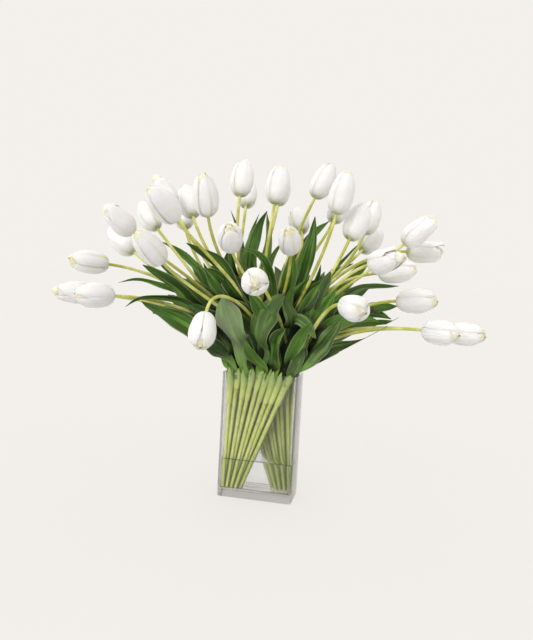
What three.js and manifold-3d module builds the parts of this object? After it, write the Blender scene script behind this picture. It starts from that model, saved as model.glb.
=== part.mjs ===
import * as THREE from 'three';
import { mergeVertices } from 'three/addons/utils/BufferGeometryUtils.js';
import Module from 'manifold-3d';

// Thirty-six white tulips in a clear rectangular glass vase, part filled with water.
// Millimetres, +Z up, the vase's underside on Z = 0, its wide face towards -Y.

// vase and water
const VASE_WIDTH = 120;
const VASE_DEPTH = 60;
const VASE_HEIGHT = 200;
const VASE_WALL = 4;
const VASE_FLOOR = 13;
const VASE_CORNER = 5;
const BORE_CORNER = 2;
const CORNER_SEGMENTS = 3;
const WATER_LEVEL = 60;
const FIT_GAP = 0.3;
const WATER_SEAT = VASE_FLOOR + FIT_GAP;

// stems
const STEM_FOOT_RADIUS = 2.75;
const STEM_WRAPPED_RADIUS = 3.8;
const STEM_NECK_RADIUS = 3.1;
const STEM_TOP_RADIUS = 2.3;
const STEM_SIDES = 5;
const WRAPPED_SHARE = 0.55;
const NECK_HEIGHT = 205;
const NECK_PITCH = 12;
const NECK_ROWS = [-17.8, -6.1, 6.1, 17.8];
const BEND = 0.35;
const ARC_SAMPLES = 51;
const ARC_SEGMENTS = 5;
const STEM_START = -0.01;

// where stems stand on the vase's floor
const FOOT_START = 51.5;
const FOOT_PITCH = 6.8;
const OUTER_FEET = [-22, -18.2];
const INNER_FEET = [-10.1, -6.3];
const LONE_FOOT = 24.5;
const OUTER_LONE = -16;
const INNER_LONE = -12.2;

// blooms
const BLOOM_LENGTH = 64;
const BLOOM_RADIUS = 17.7;
const PETAL_THICKNESS = 1.1;
const PETAL_EDGE = 0.7;
const HEAD_MARKS = [[0.16, 13], [0.34, 18], [0.52, 18.5], [0.7, 15.5], [0.9, 10]];

// leaves
const LEAF_THICKNESS = 1.3;
const LEAF_EDGE = 0.8;
const LEAF_SAMPLES = 14;
const SHEATH_RISE = 12;
const SHEATH_OFFSET = 5.2;
const LEAVING = 0.3;
const TRIM_GAP = 0.35;

// Every tulip: number, neck row, neck column, x y z of the bloom's base,
// the way the bloom points (degrees round from +X, degrees up), size, openness, arm.
const TULIPS = [
  [1, 3, 4, -50, -15, 475, 90, 70, 1.0, 0, 0.35],
  [2, 4, 2, -65, 85, 470, 100, 50, 0.96, 0.1, 0.35],
  [3, 3, 5, 5, -10, 465, 65, 78, 1.03, 0, 0.35],
  [4, 4, 3, -10, 90, 475, 90, 60, 0.95, 0.1, 0.35],
  [5, 3, 6, 60, 40, 482, 30, 65, 1.0, 0, 0.35],
  [6, 2, 6, 105, -40, 450, 10, 78, 1.03, 0, 0.35],
  [7, 4, 5, 85, 95, 450, 70, 50, 0.98, 0.1, 0.35],
  [8, 2, 7, 125, -20, 415, 55, 60, 1.03, 0.05, 0.35],
  [9, 4, 6, 140, 75, 430, 50, 68, 0.96, 0.05, 0.35],
  [10, 4, 7, 135, 120, 405, 60, 35, 0.98, 0.1, 0.35],
  [11, 3, 8, 205, 20, 413, 10, 45, 1.04, 0.1, 0.35],
  [12, 4, 8, 210, 80, 405, 20, 2, 1.03, 0.2, 0.35],
  [13, 2, 8, 160, -55, 378, -40, 12, 1.02, 0.1, 0.35],
  [14, 3, 7, 165, 25, 372, -15, 8, 0.98, 0.1, 0.35],
  [15, 3, 9, 200, 25, 325, -20, 5, 1.03, 0.15, 0.35],
  [16, 1, 9, 130, -110, 320, -55, -5, 0.9, 0.35, 0.3],
  [17, 2, 9, 243, -10, 285, -40, 0, 1.0, 0.1, 0.35],
  [18, 4, 9, 280, 50, 280, -25, 0, 0.98, 0.1, 0.35],
  [19, 2, 5, 42, -52, 391, -85, 33, 0.88, 0.15, 0.3],
  [20, 4, 4, 35, 80, 430, 115, 40, 0.98, 0.1, 0.35],
  [21, 1, 7, -40, -85, 391, -80, 28, 0.94, 0.2, 0.3],
  [22, 2, 4, -80, -78, 436, -100, 69, 1.04, 0, 0.35],
  [23, 2, 3, -123, -20, 440, 135, 55, 1.0, 0, 0.35],
  [24, 3, 3, -160, 50, 428, 120, 44, 0.95, 0.1, 0.35],
  [25, 1, 5, -110, -130, 425, -118, 37, 1.06, 0, 0.35],
  [26, 2, 2, -145, -50, 448, -165, 58, 0.98, 0, 0.35],
  [27, 3, 2, -192, 5, 420, 165, 45, 0.95, 0, 0.35],
  [28, 1, 3, -198, -78, 407, -130, 38, 1.02, 0.05, 0.35],
  [29, 3, 1, -230, 0, 380, 170, 33, 1.0, 0.1, 0.35],
  [30, 1, 4, -132, -120, 365, -118, 38, 1.04, 0, 0.35],
  [31, 2, 1, -250, -50, 358, -135, 4, 1.0, 0.1, 0.35],
  [32, 1, 2, -210, -112, 312, -125, 0, 1.0, 0.1, 0.35],
  [33, 1, 1, -270, -63, 310, -140, 3, 1.0, 0.1, 0.35],
  [34, 1, 6, -53, -154, 297, -80, -44, 0.94, 0.35, 0.58],
  [35, 1, 8, 4, -116, 352, -75, -12, 0.91, 0.45, 0.2],
  [36, 4, 1, -95, 130, 325, 115, 5, 0.98, 0.1, 0.35],
];

// Every leaf: its tulip, height it leaves the stem, a point it passes, its tip,
// width, cup (1 hollow side out, -1 hollow side in), roll in degrees.
const LEAVES = [
  [28, 186, -32, -66, 262, -50, -86, 318, 38, -1, 8],
  [25, 186, 2, -52, 267, 36, -66, 327, 32, -1, -12],
  [21, 176, 50, -40, 290, 88, -58, 266, 20, -1, -20],
  [35, 190, 60, -48, 258, 80, -60, 290, 18, 1, 25],
  [16, 172, 56, -30, 222, 64, -36, 248, 18, -1, 10],
  [16, 188, 92, -34, 252, 122, -40, 297, 24, -1, -30],
  [17, 190, 90, -12, 226, 120, -18, 246, 20, -1, -25],
  [15, 186, 122, 6, 240, 188, 8, 286, 34, 1, 4],
  [11, 184, 145, 46, 304, 202, 62, 316, 24, 1, 20],
  [18, 186, 165, 85, 284, 236, 102, 295, 10, 1, 50],
  [11, 182, 130, 12, 338, 200, 20, 366, 13, -1, 30],
  [10, 182, 115, 58, 345, 152, 82, 395, 22, 1, 10],
  [33, 184, -115, -55, 274, -176, -88, 305, 28, 1, -25],
  [32, 178, -72, -66, 246, -86, -92, 272, 20, -1, 10],
  [26, 180, -68, -28, 260, -100, -42, 308, 22, 1, 0],
  [31, 184, -130, -52, 328, -182, -74, 360, 24, 1, -15],
  [27, 182, -145, 2, 378, -186, 6, 400, 14, 1, 10],
  [24, 182, -130, 36, 350, -156, 50, 386, 11, 1, 0],
  [22, 176, -52, -52, 350, -112, -78, 396, 27, 1, -20],
  [24, 178, -62, 16, 433, -72, 14, 456, 9, 1, 35],
  [1, 176, -32, 22, 410, -16, 34, 458, 25, 1, 12],
  [4, 180, -14, 42, 405, -20, 52, 456, 18, -1, -10],
  [3, 186, -36, -30, 374, -42, -28, 397, 15, -1, 10],
  [19, 184, -8, -42, 384, -32, -66, 392, 14, 1, 30],
  [5, 178, 36, -12, 352, 36, -16, 396, 27, 1, 0],
  [3, 186, -6, 14, 362, 14, 24, 408, 19, 1, -15],
  [5, 176, 58, 10, 385, 66, 14, 450, 26, 1, -8],
  [7, 180, 45, 62, 410, 80, 86, 450, 20, 1, 15],
  [14, 184, 72, 34, 350, 76, 40, 376, 12, 1, 20],
  [9, 182, 100, 82, 368, 124, 104, 382, 14, 1, 10],
  [8, 176, 74, -26, 315, 90, -32, 345, 26, 1, -12],
  [21, 184, 24, -44, 242, 42, -56, 277, 22, 1, -20],
  [34, 184, -6, -54, 230, -16, -66, 256, 16, 1, 10],
  [23, 180, -95, -14, 335, -116, -10, 366, 20, 1, -8],
  [29, 184, -145, -18, 340, -180, -18, 366, 16, 1, 12],
  [31, 182, -180, -36, 335, -230, -54, 330, 10, 1, -40],
  [32, 188, -160, -76, 314, -196, -100, 296, 11, 1, -40],
  [12, 188, 105, 96, 385, 130, 114, 416, 9, 1, 30],
  [2, 180, -50, 62, 410, -40, 82, 458, 9, 1, 20],
  [36, 178, -65, 80, 290, -135, 120, 345, 26, -1, 10],
  [2, 176, -45, 85, 330, -95, 135, 375, 26, -1, 0],
  [4, 174, -5, 90, 320, -20, 140, 370, 28, -1, 0],
  [7, 176, 50, 92, 320, 70, 140, 365, 28, -1, 0],
  [9, 174, 90, 80, 300, 150, 120, 340, 26, -1, -10],
  [12, 174, 105, 70, 262, 175, 110, 285, 24, -1, -10],
  [6, 182, 78, 0, 335, 112, 12, 378, 18, 1, 10],
];

const wasm = await Module();
wasm.setup();

const V = (x, y, z) => new THREE.Vector3(x, y, z);

function solid(points, faces) {
  const mesh = new wasm.Mesh({
    numProp: 3,
    vertProperties: new Float32Array(points.flatMap((p) => [p.x, p.y, p.z])),
    triVerts: new Uint32Array(faces.flat()),
  });
  return new wasm.Manifold(mesh);
}

// A closed blade through three points a section: left edge, middle, right edge.
// Both faces share the same split, so the two stay parallel where the blade waves.
function blade(sections) {
  const points = [];
  const faces = [];
  for (const s of sections) {
    for (const face of [1, -1]) {
      for (let column = 0; column < 3; column += 1) {
        const half = (column === 1 ? s.thick : s.edge) / 2;
        points.push(s.across[column].clone().addScaledVector(s.normal[column], face * half));
      }
    }
  }
  const quad = (a, b, c, d) => faces.push([a, b, c], [a, c, d]);
  for (let i = 0; i + 1 < sections.length; i += 1) {
    const p = i * 6;
    const q = p + 6;
    for (let c = 0; c < 2; c += 1) {
      quad(p + c, p + c + 1, q + c + 1, q + c);
      faces.push([p + 3 + c, q + 3 + c + 1, p + 3 + c + 1], [p + 3 + c, q + 3 + c, q + 3 + c + 1]);
    }
    quad(p, q, q + 3, p + 3);
    quad(p + 2, p + 5, q + 5, q + 2);
  }
  const e = (sections.length - 1) * 6;
  quad(0, 3, 4, 1);
  quad(1, 4, 5, 2);
  quad(e, e + 1, e + 4, e + 3);
  quad(e + 1, e + 2, e + 5, e + 4);
  return solid(points, faces);
}

// A round bar along a line of points, its radius given at each and its last end square to
// the way given.
function tube(line, radii, sides, endways) {
  const points = [];
  const faces = [];
  const count = line.length;
  let side = null;
  for (let i = 0; i < count; i += 1) {
    let along = line[Math.min(i + 1, count - 1)].clone().sub(line[Math.max(i - 1, 0)]).normalize();
    if (i === count - 1 && endways !== undefined) {
      along = endways.clone();
    }
    if (side === null) {
      side = V(0, -1, 0).cross(along).normalize();
    }
    side.addScaledVector(along, -side.dot(along)).normalize();
    const other = along.clone().cross(side);
    for (let k = 0; k < sides; k += 1) {
      const turn = (2 * Math.PI * k) / sides;
      points.push(line[i].clone()
        .addScaledVector(side, radii[i] * Math.cos(turn))
        .addScaledVector(other, radii[i] * Math.sin(turn)));
    }
  }
  for (let i = 0; i + 1 < count; i += 1) {
    for (let k = 0; k < sides; k += 1) {
      const a = i * sides + k;
      const b = i * sides + ((k + 1) % sides);
      faces.push([a, b, b + sides], [a, b + sides, a + sides]);
    }
  }
  const last = (count - 1) * sides;
  for (let k = 1; k + 1 < sides; k += 1) {
    faces.push([0, k + 1, k], [last, last + k, last + k + 1]);
  }
  return solid(points, faces);
}

function alongCurve(controls, count) {
  const curve = new THREE.CubicBezierCurve3(...controls);
  return Array.from({ length: count }, (_, i) => curve.getPoint(i / (count - 1)));
}

// Stems in the two front rows stand at the left of the vase's floor and those in the
// two back rows at the right, so the bunch crosses over itself below the rim.
function footOf(row, column) {
  const back = row > 2;
  const place = back ? 9 - column : column - 1;
  const lone = place === 8;
  const pair = Math.floor(place / 2);
  const second = place % 2;
  const inner = row === 2 || row === 3;
  const x = lone ? -LONE_FOOT : FOOT_PITCH * pair - FOOT_START;
  let y = (inner ? INNER_FEET : OUTER_FEET)[second];
  if (lone) {
    y = inner ? INNER_LONE : OUTER_LONE;
  }
  const side = back ? -1 : 1;
  return V(side * x, side * y, WATER_SEAT);
}

function stemGroup(row, column) {
  const back = row > 2;
  const place = back ? 9 - column : column - 1;
  const half = back ? 9 : 0;
  if (place === 8) {
    return half + 9;
  }
  const inner = row === 2 || row === 3;
  return half + Math.floor(place / 2) + 1 + (inner ? 4 : 0);
}

// Round marks down the middle of a bloom, which hold others off it.
function headOf(base, direction, size) {
  const length = BLOOM_LENGTH * size;
  return HEAD_MARKS.map(([t, radius]) => ({
    at: base.clone().addScaledVector(direction, t * length),
    radius: radius * size,
  }));
}

const degrees = Math.PI / 180;
const tulips = TULIPS.map((row) => {
  const [number, neckRow, neckColumn, x, y, z, round, up, size, open, arm] = row;
  const direction = V(
    Math.cos(up * degrees) * Math.cos(round * degrees),
    Math.cos(up * degrees) * Math.sin(round * degrees),
    Math.sin(up * degrees),
  );
  const foot = footOf(neckRow, neckColumn);
  const neck = V(NECK_PITCH * (neckColumn - 5), NECK_ROWS[neckRow - 1], NECK_HEIGHT);
  const base = V(x, y, z);
  const start = neck.clone().sub(foot).normalize();
  const reach = base.distanceTo(neck);
  const arc = alongCurve([
    neck,
    neck.clone().addScaledVector(start, BEND * reach),
    base.clone().addScaledVector(direction, -arm * reach),
    base,
  ], ARC_SAMPLES);
  return { number, size, open, foot, neck, arc, direction, group: stemGroup(neckRow, neckColumn) };
});

function smooth(field, passes) {
  let now = field;
  for (let pass = 0; pass < passes; pass += 1) {
    now = now.map((v, i) => {
      const before = now[Math.max(i - 1, 0)];
      const after = now[Math.min(i + 1, now.length - 1)];
      return v.clone().multiplyScalar(2).add(before).add(after).multiplyScalar(0.25);
    });
  }
  return now;
}

// Stems and blooms rest against each other: any that press together are eased apart.
const STEM_CLEARANCE = 2;
const EASE_ROUNDS = 120;
const EASED = 0.2;
const HEAD_PULL = 0.4;
const STEM_SMOOTHING = 6;
const STEM_LOOSENESS = 6;
function easeStems() {
  for (let round = 0; round < EASE_ROUNDS; round += 1) {
    const marks = [];
    tulips.forEach((tulip, owner) => {
      tulip.arc.forEach((at, i) => {
        const t = i / (ARC_SAMPLES - 1);
        const radius = STEM_NECK_RADIUS + (STEM_TOP_RADIUS - STEM_NECK_RADIUS) * t;
        marks.push({ owner, i, at, radius });
      });
      const base = tulip.arc[ARC_SAMPLES - 1];
      headOf(base, tulip.direction, tulip.size).forEach(({ at, radius }) => {
        marks.push({ owner, i: ARC_SAMPLES, at, radius });
      });
    });
    const push = tulips.map(() => Array.from({ length: ARC_SAMPLES + 1 }, () => V(0, 0, 0)));
    let worst = 0;
    for (let a = 0; a < marks.length; a += 1) {
      for (let b = a + 1; b < marks.length; b += 1) {
        const p = marks[a];
        const q = marks[b];
        if (p.owner !== q.owner) {
          const need = p.radius + q.radius + STEM_CLEARANCE;
          const dx = p.at.x - q.at.x;
          const dy = p.at.y - q.at.y;
          const dz = p.at.z - q.at.z;
          const square = dx * dx + dy * dy + dz * dz;
          if (square < need * need && square > 1e-6) {
            const far = Math.sqrt(square);
            const share = (0.5 * (need - far)) / far;
            worst = Math.max(worst, need - far);
            push[p.owner][p.i].add(V(dx * share, dy * share, dz * share));
            push[q.owner][q.i].add(V(-dx * share, -dy * share, -dz * share));
          }
        }
      }
    }
    tulips.forEach((tulip, owner) => {
      const own = push[owner];
      const head = own[ARC_SAMPLES].multiplyScalar(HEAD_PULL);
      for (let i = 0; i < ARC_SAMPLES; i += 1) {
        const t = i / (ARC_SAMPLES - 1);
        own[i].addScaledVector(head, t * t);
      }
      const moved = smooth(own.slice(0, ARC_SAMPLES), STEM_SMOOTHING);
      moved.forEach((move, i) => {
        const t = i / (ARC_SAMPLES - 1);
        const loose = Math.min(1, t * STEM_LOOSENESS);
        tulip.arc[i].addScaledVector(move, loose);
      });
    });
    if (worst < EASED) {
      return;
    }
  }
}
easeStems();

const byNumber = new Map(tulips.map((tulip) => [tulip.number, tulip]));

function turned(vector, axis, angle) {
  return vector.clone().applyAxisAngle(axis, angle);
}

// How wide a leaf is along its length, as shares of both.
const LEAF_OUTLINE = [
  [0, 0.14], [0.077, 0.36], [0.22, 0.52], [0.36, 0.84], [0.52, 1],
  [0.68, 0.92], [0.84, 0.6], [0.94, 0.28], [1, 0.05],
];
function outlineAt(t) {
  for (let i = 0; i + 1 < LEAF_OUTLINE.length; i += 1) {
    const [t0, w0] = LEAF_OUTLINE[i];
    const [t1, w1] = LEAF_OUTLINE[i + 1];
    if (t <= t1) {
      return w0 + ((w1 - w0) * (t - t0)) / (t1 - t0);
    }
  }
  return LEAF_OUTLINE[LEAF_OUTLINE.length - 1][1];
}

const leaves = LEAVES.map((row, index) => {
  const [number, height, vx, vy, vz, tx, ty, tz, width, cup, roll] = row;
  const tulip = byNumber.get(number);
  const t0 = (height - tulip.foot.z) / (tulip.neck.z - tulip.foot.z);
  const root = tulip.foot.clone().lerp(tulip.neck, t0);
  const along = tulip.neck.clone().sub(tulip.foot).normalize();
  const via = V(vx, vy, vz);
  const tip = V(tx, ty, tz);
  const out = via.clone().sub(root);
  out.addScaledVector(along, -out.dot(along)).normalize();
  const start = root.clone().addScaledVector(along, SHEATH_RISE).addScaledVector(out, SHEATH_OFFSET);
  const reach = start.distanceTo(via) + via.distanceTo(tip);
  const leave = start.clone().addScaledVector(along, LEAVING * reach);
  const u = start.distanceTo(via) / reach;
  const k = 1 - u;
  const pull = via.clone()
    .addScaledVector(start, -k * k * k)
    .addScaledVector(leave, -3 * k * k * u)
    .addScaledVector(tip, -u * u * u)
    .multiplyScalar(1 / (3 * k * u * u));
  const line = [root, ...alongCurve([start, leave, pull, tip], LEAF_SAMPLES - 1)];
  return { index, tulip, width, cup, roll, line, reach, out };
});

// The blade's own directions at every sample: across it, and out of its face. Its sheath
// is wrapped round the stem, and the blade above turns to face the front of the vase.
const SHEATH_SHARE = 0.36;
const SHEATH_FOLD = 0.35;
const CUP_FOLD = 0.5;
const WAVE_HEIGHT = 0.075;
const WAVE_LENGTH = 17;
const LEFT_WAVE = 1.7;
const RIGHT_WAVE = 2.3;
const EDGE_TILT = 0.45;
function frameLeaf(leaf) {
  const front = V(0, -1, 0);
  const last = LEAF_SAMPLES - 1;
  leaf.frames = leaf.line.map((at, i) => {
    const before = leaf.line[Math.max(i - 1, 0)];
    const after = leaf.line[Math.min(i + 1, last)];
    const along = after.clone().sub(before).normalize();
    const side = along.clone().cross(front).normalize();
    const level = turned(side, along, (leaf.roll * degrees * i) / last);
    const facing = level.clone().cross(along).normalize();
    const sheath = leaf.out.clone().multiplyScalar(leaf.out.dot(facing) < 0 ? -1 : 1);
    const blend = THREE.MathUtils.smoothstep(i / last, 0, SHEATH_SHARE);
    const normal = sheath.multiplyScalar(1 - blend).addScaledVector(facing, blend);
    normal.addScaledVector(along, -normal.dot(along)).normalize();
    const across = along.clone().cross(normal);
    const outer = leaf.out.dot(normal) < 0 ? -1 : 1;
    return { across, normal, blend, outer };
  });
}

function leafSection(leaf, i, grow) {
  const t = i / (LEAF_SAMPLES - 1);
  const { across, normal, blend, outer } = leaf.frames[i];
  const half = (leaf.width / 2) * outlineAt(t) + grow;
  const cup = THREE.MathUtils.lerp(-outer * SHEATH_FOLD, leaf.cup * CUP_FOLD * (1 - t / 2), blend);
  const waves = leaf.width * WAVE_HEIGHT * Math.sin(Math.PI * t);
  const swing = (t * leaf.reach) / WAVE_LENGTH;
  const left = cup * half + waves * Math.sin(swing + leaf.index * LEFT_WAVE);
  const right = cup * half + waves * Math.sin(swing + leaf.index * RIGHT_WAVE + 2);
  const middle = leaf.line[i].clone();
  const tilt = EDGE_TILT * Math.sign(cup);
  return {
    across: [
      middle.clone().addScaledVector(across, -half).addScaledVector(normal, left),
      middle,
      middle.clone().addScaledVector(across, half).addScaledVector(normal, right),
    ],
    normal: [
      normal.clone().addScaledVector(across, tilt).normalize(),
      normal,
      normal.clone().addScaledVector(across, -tilt).normalize(),
    ],
    thick: LEAF_THICKNESS + 2 * grow,
    edge: LEAF_EDGE + 2 * grow,
  };
}

// Leaves lie clear of other tulips' stems and blooms and of each other.
const LEAF_ROUNDS = 90;
const LEAF_CLEARANCE = 3.5;
const LEAF_SMOOTHING = 2;
const FIRST_LOOSE_ROW = 3;
const HELD_SHARE = 0.15;
const LEAF_LOOSENESS = 3;
const MOST_MOVE = 3;
const STEM_MARK = 3;
const LEAF_MARK = 0.7;
const OFF_FIXED = 0.5;
const OFF_LEAF = 0.25;
function easeLeaves() {
  const fixed = [];
  tulips.forEach((tulip) => {
    tulip.arc.forEach((at, i) => {
      if (i % 2 === 0) {
        fixed.push({ at, radius: STEM_MARK });
      }
    });
    const base = tulip.arc[ARC_SAMPLES - 1];
    headOf(base, tulip.direction, tulip.size).forEach(({ at, radius }) => {
      fixed.push({ at, radius });
    });
  });
  for (let round = 0; round < LEAF_ROUNDS; round += 1) {
    const marks = [];
    leaves.forEach((leaf, owner) => {
      frameLeaf(leaf);
      for (let i = FIRST_LOOSE_ROW; i < LEAF_SAMPLES; i += 1) {
        leafSection(leaf, i, 0).across.forEach((at) => {
          marks.push({ owner, i, at, radius: LEAF_MARK });
        });
      }
    });
    const push = leaves.map(() => Array.from({ length: LEAF_SAMPLES }, () => V(0, 0, 0)));
    for (let a = 0; a < marks.length; a += 1) {
      const p = marks[a];
      const ease = (q, part) => {
        const need = p.radius + q.radius + LEAF_CLEARANCE;
        const gap = p.at.clone().sub(q.at);
        const far = gap.length();
        if (far < need && far > 1e-3) {
          gap.multiplyScalar((part * (need - far)) / far);
          push[p.owner][p.i].add(gap);
          if (q.owner !== undefined) {
            push[q.owner][q.i].sub(gap);
          }
        }
      };
      fixed.forEach((q) => ease(q, OFF_FIXED));
      for (let b = a + 1; b < marks.length; b += 1) {
        if (marks[b].owner !== p.owner) {
          ease(marks[b], OFF_LEAF);
        }
      }
    }
    leaves.forEach((leaf, owner) => {
      smooth(push[owner], LEAF_SMOOTHING).forEach((move, i) => {
        const t = i / (LEAF_SAMPLES - 1);
        const loose = THREE.MathUtils.clamp((t - HELD_SHARE) * LEAF_LOOSENESS, 0, 1);
        leaf.line[i].addScaledVector(move.clampLength(0, MOST_MOVE), loose);
      });
    });
  }
}
easeLeaves();

function stemSolid(tulip, grow) {
  const line = [STEM_START, WRAPPED_SHARE, 1].map((share) => tulip.foot.clone().lerp(tulip.neck, share));
  const radii = [STEM_FOOT_RADIUS + grow, STEM_WRAPPED_RADIUS + grow, STEM_WRAPPED_RADIUS + grow];
  for (let k = 1; k <= ARC_SEGMENTS; k += 1) {
    const at = tulip.arc[(k * (ARC_SAMPLES - 1)) / ARC_SEGMENTS].clone();
    if (k === ARC_SEGMENTS) {
      at.addScaledVector(tulip.direction, grow - FIT_GAP);
    }
    line.push(at);
    radii.push(STEM_NECK_RADIUS + (STEM_TOP_RADIUS - STEM_NECK_RADIUS) * (k / ARC_SEGMENTS) + grow);
  }
  return tube(line, radii, STEM_SIDES, tulip.direction).trimByPlane([0, 0, 1], WATER_SEAT);
}

const LONG_LEAF = 200;
const LONG_ROWS = [0, 1, 3, 5, 8, 11, 13];
const SHORT_ROWS = [0, 1, 4, 7, 10, 13];
function leafSolid(leaf, grow) {
  frameLeaf(leaf);
  const rows = leaf.reach > LONG_LEAF ? LONG_ROWS : SHORT_ROWS;
  return blade(rows.map((i) => leafSection(leaf, i, grow)));
}

// A bloom stands on its stem's end: three outer petals and, a step higher on the seat,
// three inner ones. Rows give height, distance out and half spread in degrees.
const WAIST = 0.3;
const FLARE = 1.6;
const PETAL_TURN = 2.1;
const SEAT_RINGS = [[0, 0.17], [0.045, 0.3], [0.09, 0.22]];
const OUTER_PETAL = [[0.16, 0.74, 56], [0.4, 1, 57], [0.7, 0.88, 50], [0.99, 0.3, 0]];
const INNER_PETAL = [[0.52, 0.82, 50], [1.03, 0.2, 0]];
function bloomSolid(tulip) {
  const length = BLOOM_LENGTH * tulip.size;
  const radius = BLOOM_RADIUS * tulip.size;
  const place = (t, r, turn) => V(r * radius * Math.cos(turn), r * radius * Math.sin(turn), t * length);
  const points = [];
  const faces = [];
  const ringAt = (level, k) => level * 6 + ((k + 6) % 6);
  SEAT_RINGS.forEach(([t, r]) => {
    for (let k = 0; k < 6; k += 1) {
      points.push(place(t, r, (k + 0.5) * 60 * degrees));
    }
  });
  for (let k = 1; k < 5; k += 1) {
    faces.push([0, k + 1, k], [12, 12 + k, 12 + k + 1]);
  }
  const petal = (face, level, rows, widen) => {
    const middle = face * 60 * degrees;
    const low = [ringAt(level - 1, face - 1), ringAt(level - 1, face)];
    const high = [ringAt(level, face - 1), ringAt(level, face)];
    const start = points.length;
    rows.forEach(([t, r, spread], i) => {
      const wide = r * (1 + widen * tulip.open * Math.max(0, t - WAIST) * FLARE);
      const turns = i === rows.length - 1 ? [0] : [-spread * degrees, 0, spread * degrees];
      for (const half of [0.5, -0.5]) {
        for (const turn of turns) {
          const thick = (turn === 0 && turns.length > 1 ? PETAL_THICKNESS : PETAL_EDGE) / radius;
          points.push(place(t, wide + half * thick, middle + turn));
        }
      }
    });
    const [ol, om, or, il, im, ir] = [0, 1, 2, 3, 4, 5].map((k) => start + k);
    faces.push([low[0], low[1], om], [low[1], or, om], [low[0], om, ol]);
    faces.push([high[0], im, high[1]], [high[1], im, ir], [high[0], il, im]);
    faces.push([low[0], ol, il], [low[0], il, high[0]], [low[1], high[1], ir], [low[1], ir, or]);
    for (let i = 0; i + 2 < rows.length; i += 1) {
      const p = start + i * 6;
      const q = p + 6;
      for (let c = 0; c < 2; c += 1) {
        faces.push([p + c, p + c + 1, q + c + 1], [p + c, q + c + 1, q + c]);
        faces.push([p + 3 + c, q + 4 + c, p + 4 + c], [p + 3 + c, q + 3 + c, q + 4 + c]);
      }
      faces.push([p, q, q + 3], [p, q + 3, p + 3], [p + 2, p + 5, q + 5], [p + 2, q + 5, q + 2]);
    }
    const p = start + (rows.length - 2) * 6;
    const tip = p + 6;
    faces.push([p, p + 1, tip], [p + 1, p + 2, tip], [p + 3, tip + 1, p + 4], [p + 4, tip + 1, p + 5]);
    faces.push([p, tip, tip + 1], [p, tip + 1, p + 3], [p + 2, p + 5, tip + 1], [p + 2, tip + 1, tip]);
  };
  for (let face = 0; face < 6; face += 1) {
    const level = face % 2 === 0 ? 1 : 2;
    petal(face, level, level === 1 ? OUTER_PETAL : INNER_PETAL, level === 1 ? 1 : 0.7);
    const bare = level === 1 ? 2 : 1;
    const low = [ringAt(bare - 1, face - 1), ringAt(bare - 1, face)];
    const high = [ringAt(bare, face - 1), ringAt(bare, face)];
    faces.push([low[0], low[1], high[1]], [low[0], high[1], high[0]]);
  }
  return solid(points, faces);
}

// The space a bloom fills, a little larger all round, which leaves are cut back from.
const CUTTER_SIDES = 12;
const CUTTER_FOOT = [[-0.006, 0.2], [0.03, 0.4], [0.16, 0.78], [0.4, 1.06]];
function bloomCutter(tulip) {
  const base = tulip.arc[ARC_SAMPLES - 1];
  const length = BLOOM_LENGTH * tulip.size;
  const radius = BLOOM_RADIUS * tulip.size;
  const profile = [...CUTTER_FOOT, [0.7, 0.94 + tulip.open / 2], [1.04, 0.37 + tulip.open]];
  return tube(
    profile.map(([t]) => base.clone().addScaledVector(tulip.direction, t * length)),
    profile.map(([, share]) => share * radius + TRIM_GAP),
    CUTTER_SIDES,
  );
}

function solidOf(geometry) {
  const plain = geometry.clone();
  plain.deleteAttribute('normal');
  plain.deleteAttribute('uv');
  const merged = mergeVertices(plain, 1e-4);
  return new wasm.Manifold(new wasm.Mesh({
    numProp: 3,
    vertProperties: new Float32Array(merged.attributes.position.array),
    triVerts: new Uint32Array(merged.index.array),
  }));
}

// An upright block with rounded corners, standing at the height given.
function roundedBlock(width, depth, bottom, top, corner) {
  const x = width / 2;
  const y = depth / 2;
  const outline = new THREE.Shape();
  outline.moveTo(-x + corner, -y);
  outline.lineTo(x - corner, -y);
  outline.absarc(x - corner, -y + corner, corner, -Math.PI / 2, 0, false);
  outline.lineTo(x, y - corner);
  outline.absarc(x - corner, y - corner, corner, 0, Math.PI / 2, false);
  outline.lineTo(-x + corner, y);
  outline.absarc(-x + corner, y - corner, corner, Math.PI / 2, Math.PI, false);
  outline.lineTo(-x, -y + corner);
  outline.absarc(-x + corner, -y + corner, corner, Math.PI, 1.5 * Math.PI, false);
  const block = new THREE.ExtrudeGeometry(outline, {
    depth: top - bottom,
    bevelEnabled: false,
    curveSegments: CORNER_SEGMENTS,
  });
  block.translate(0, 0, bottom);
  return solidOf(block);
}

function largest(body) {
  const parts = body.decompose();
  parts.sort((a, b) => b.volume() - a.volume());
  return parts[0];
}

const innerWidth = VASE_WIDTH - 2 * VASE_WALL;
const innerDepth = VASE_DEPTH - 2 * VASE_WALL;
const outerBlock = roundedBlock(VASE_WIDTH, VASE_DEPTH, 0, VASE_HEIGHT, VASE_CORNER);
const overRim = VASE_HEIGHT + 5;
const vase = outerBlock.subtract(roundedBlock(innerWidth, innerDepth, VASE_FLOOR, overRim, BORE_CORNER));
const clearWidth = innerWidth - 2 * TRIM_GAP;
const clearDepth = innerDepth - 2 * TRIM_GAP;
const rimCutter = roundedBlock(VASE_WIDTH + 1, VASE_DEPTH + 1, 0, VASE_HEIGHT + TRIM_GAP, VASE_CORNER)
  .subtract(roundedBlock(clearWidth, clearDepth, -1, overRim, BORE_CORNER));

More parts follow.
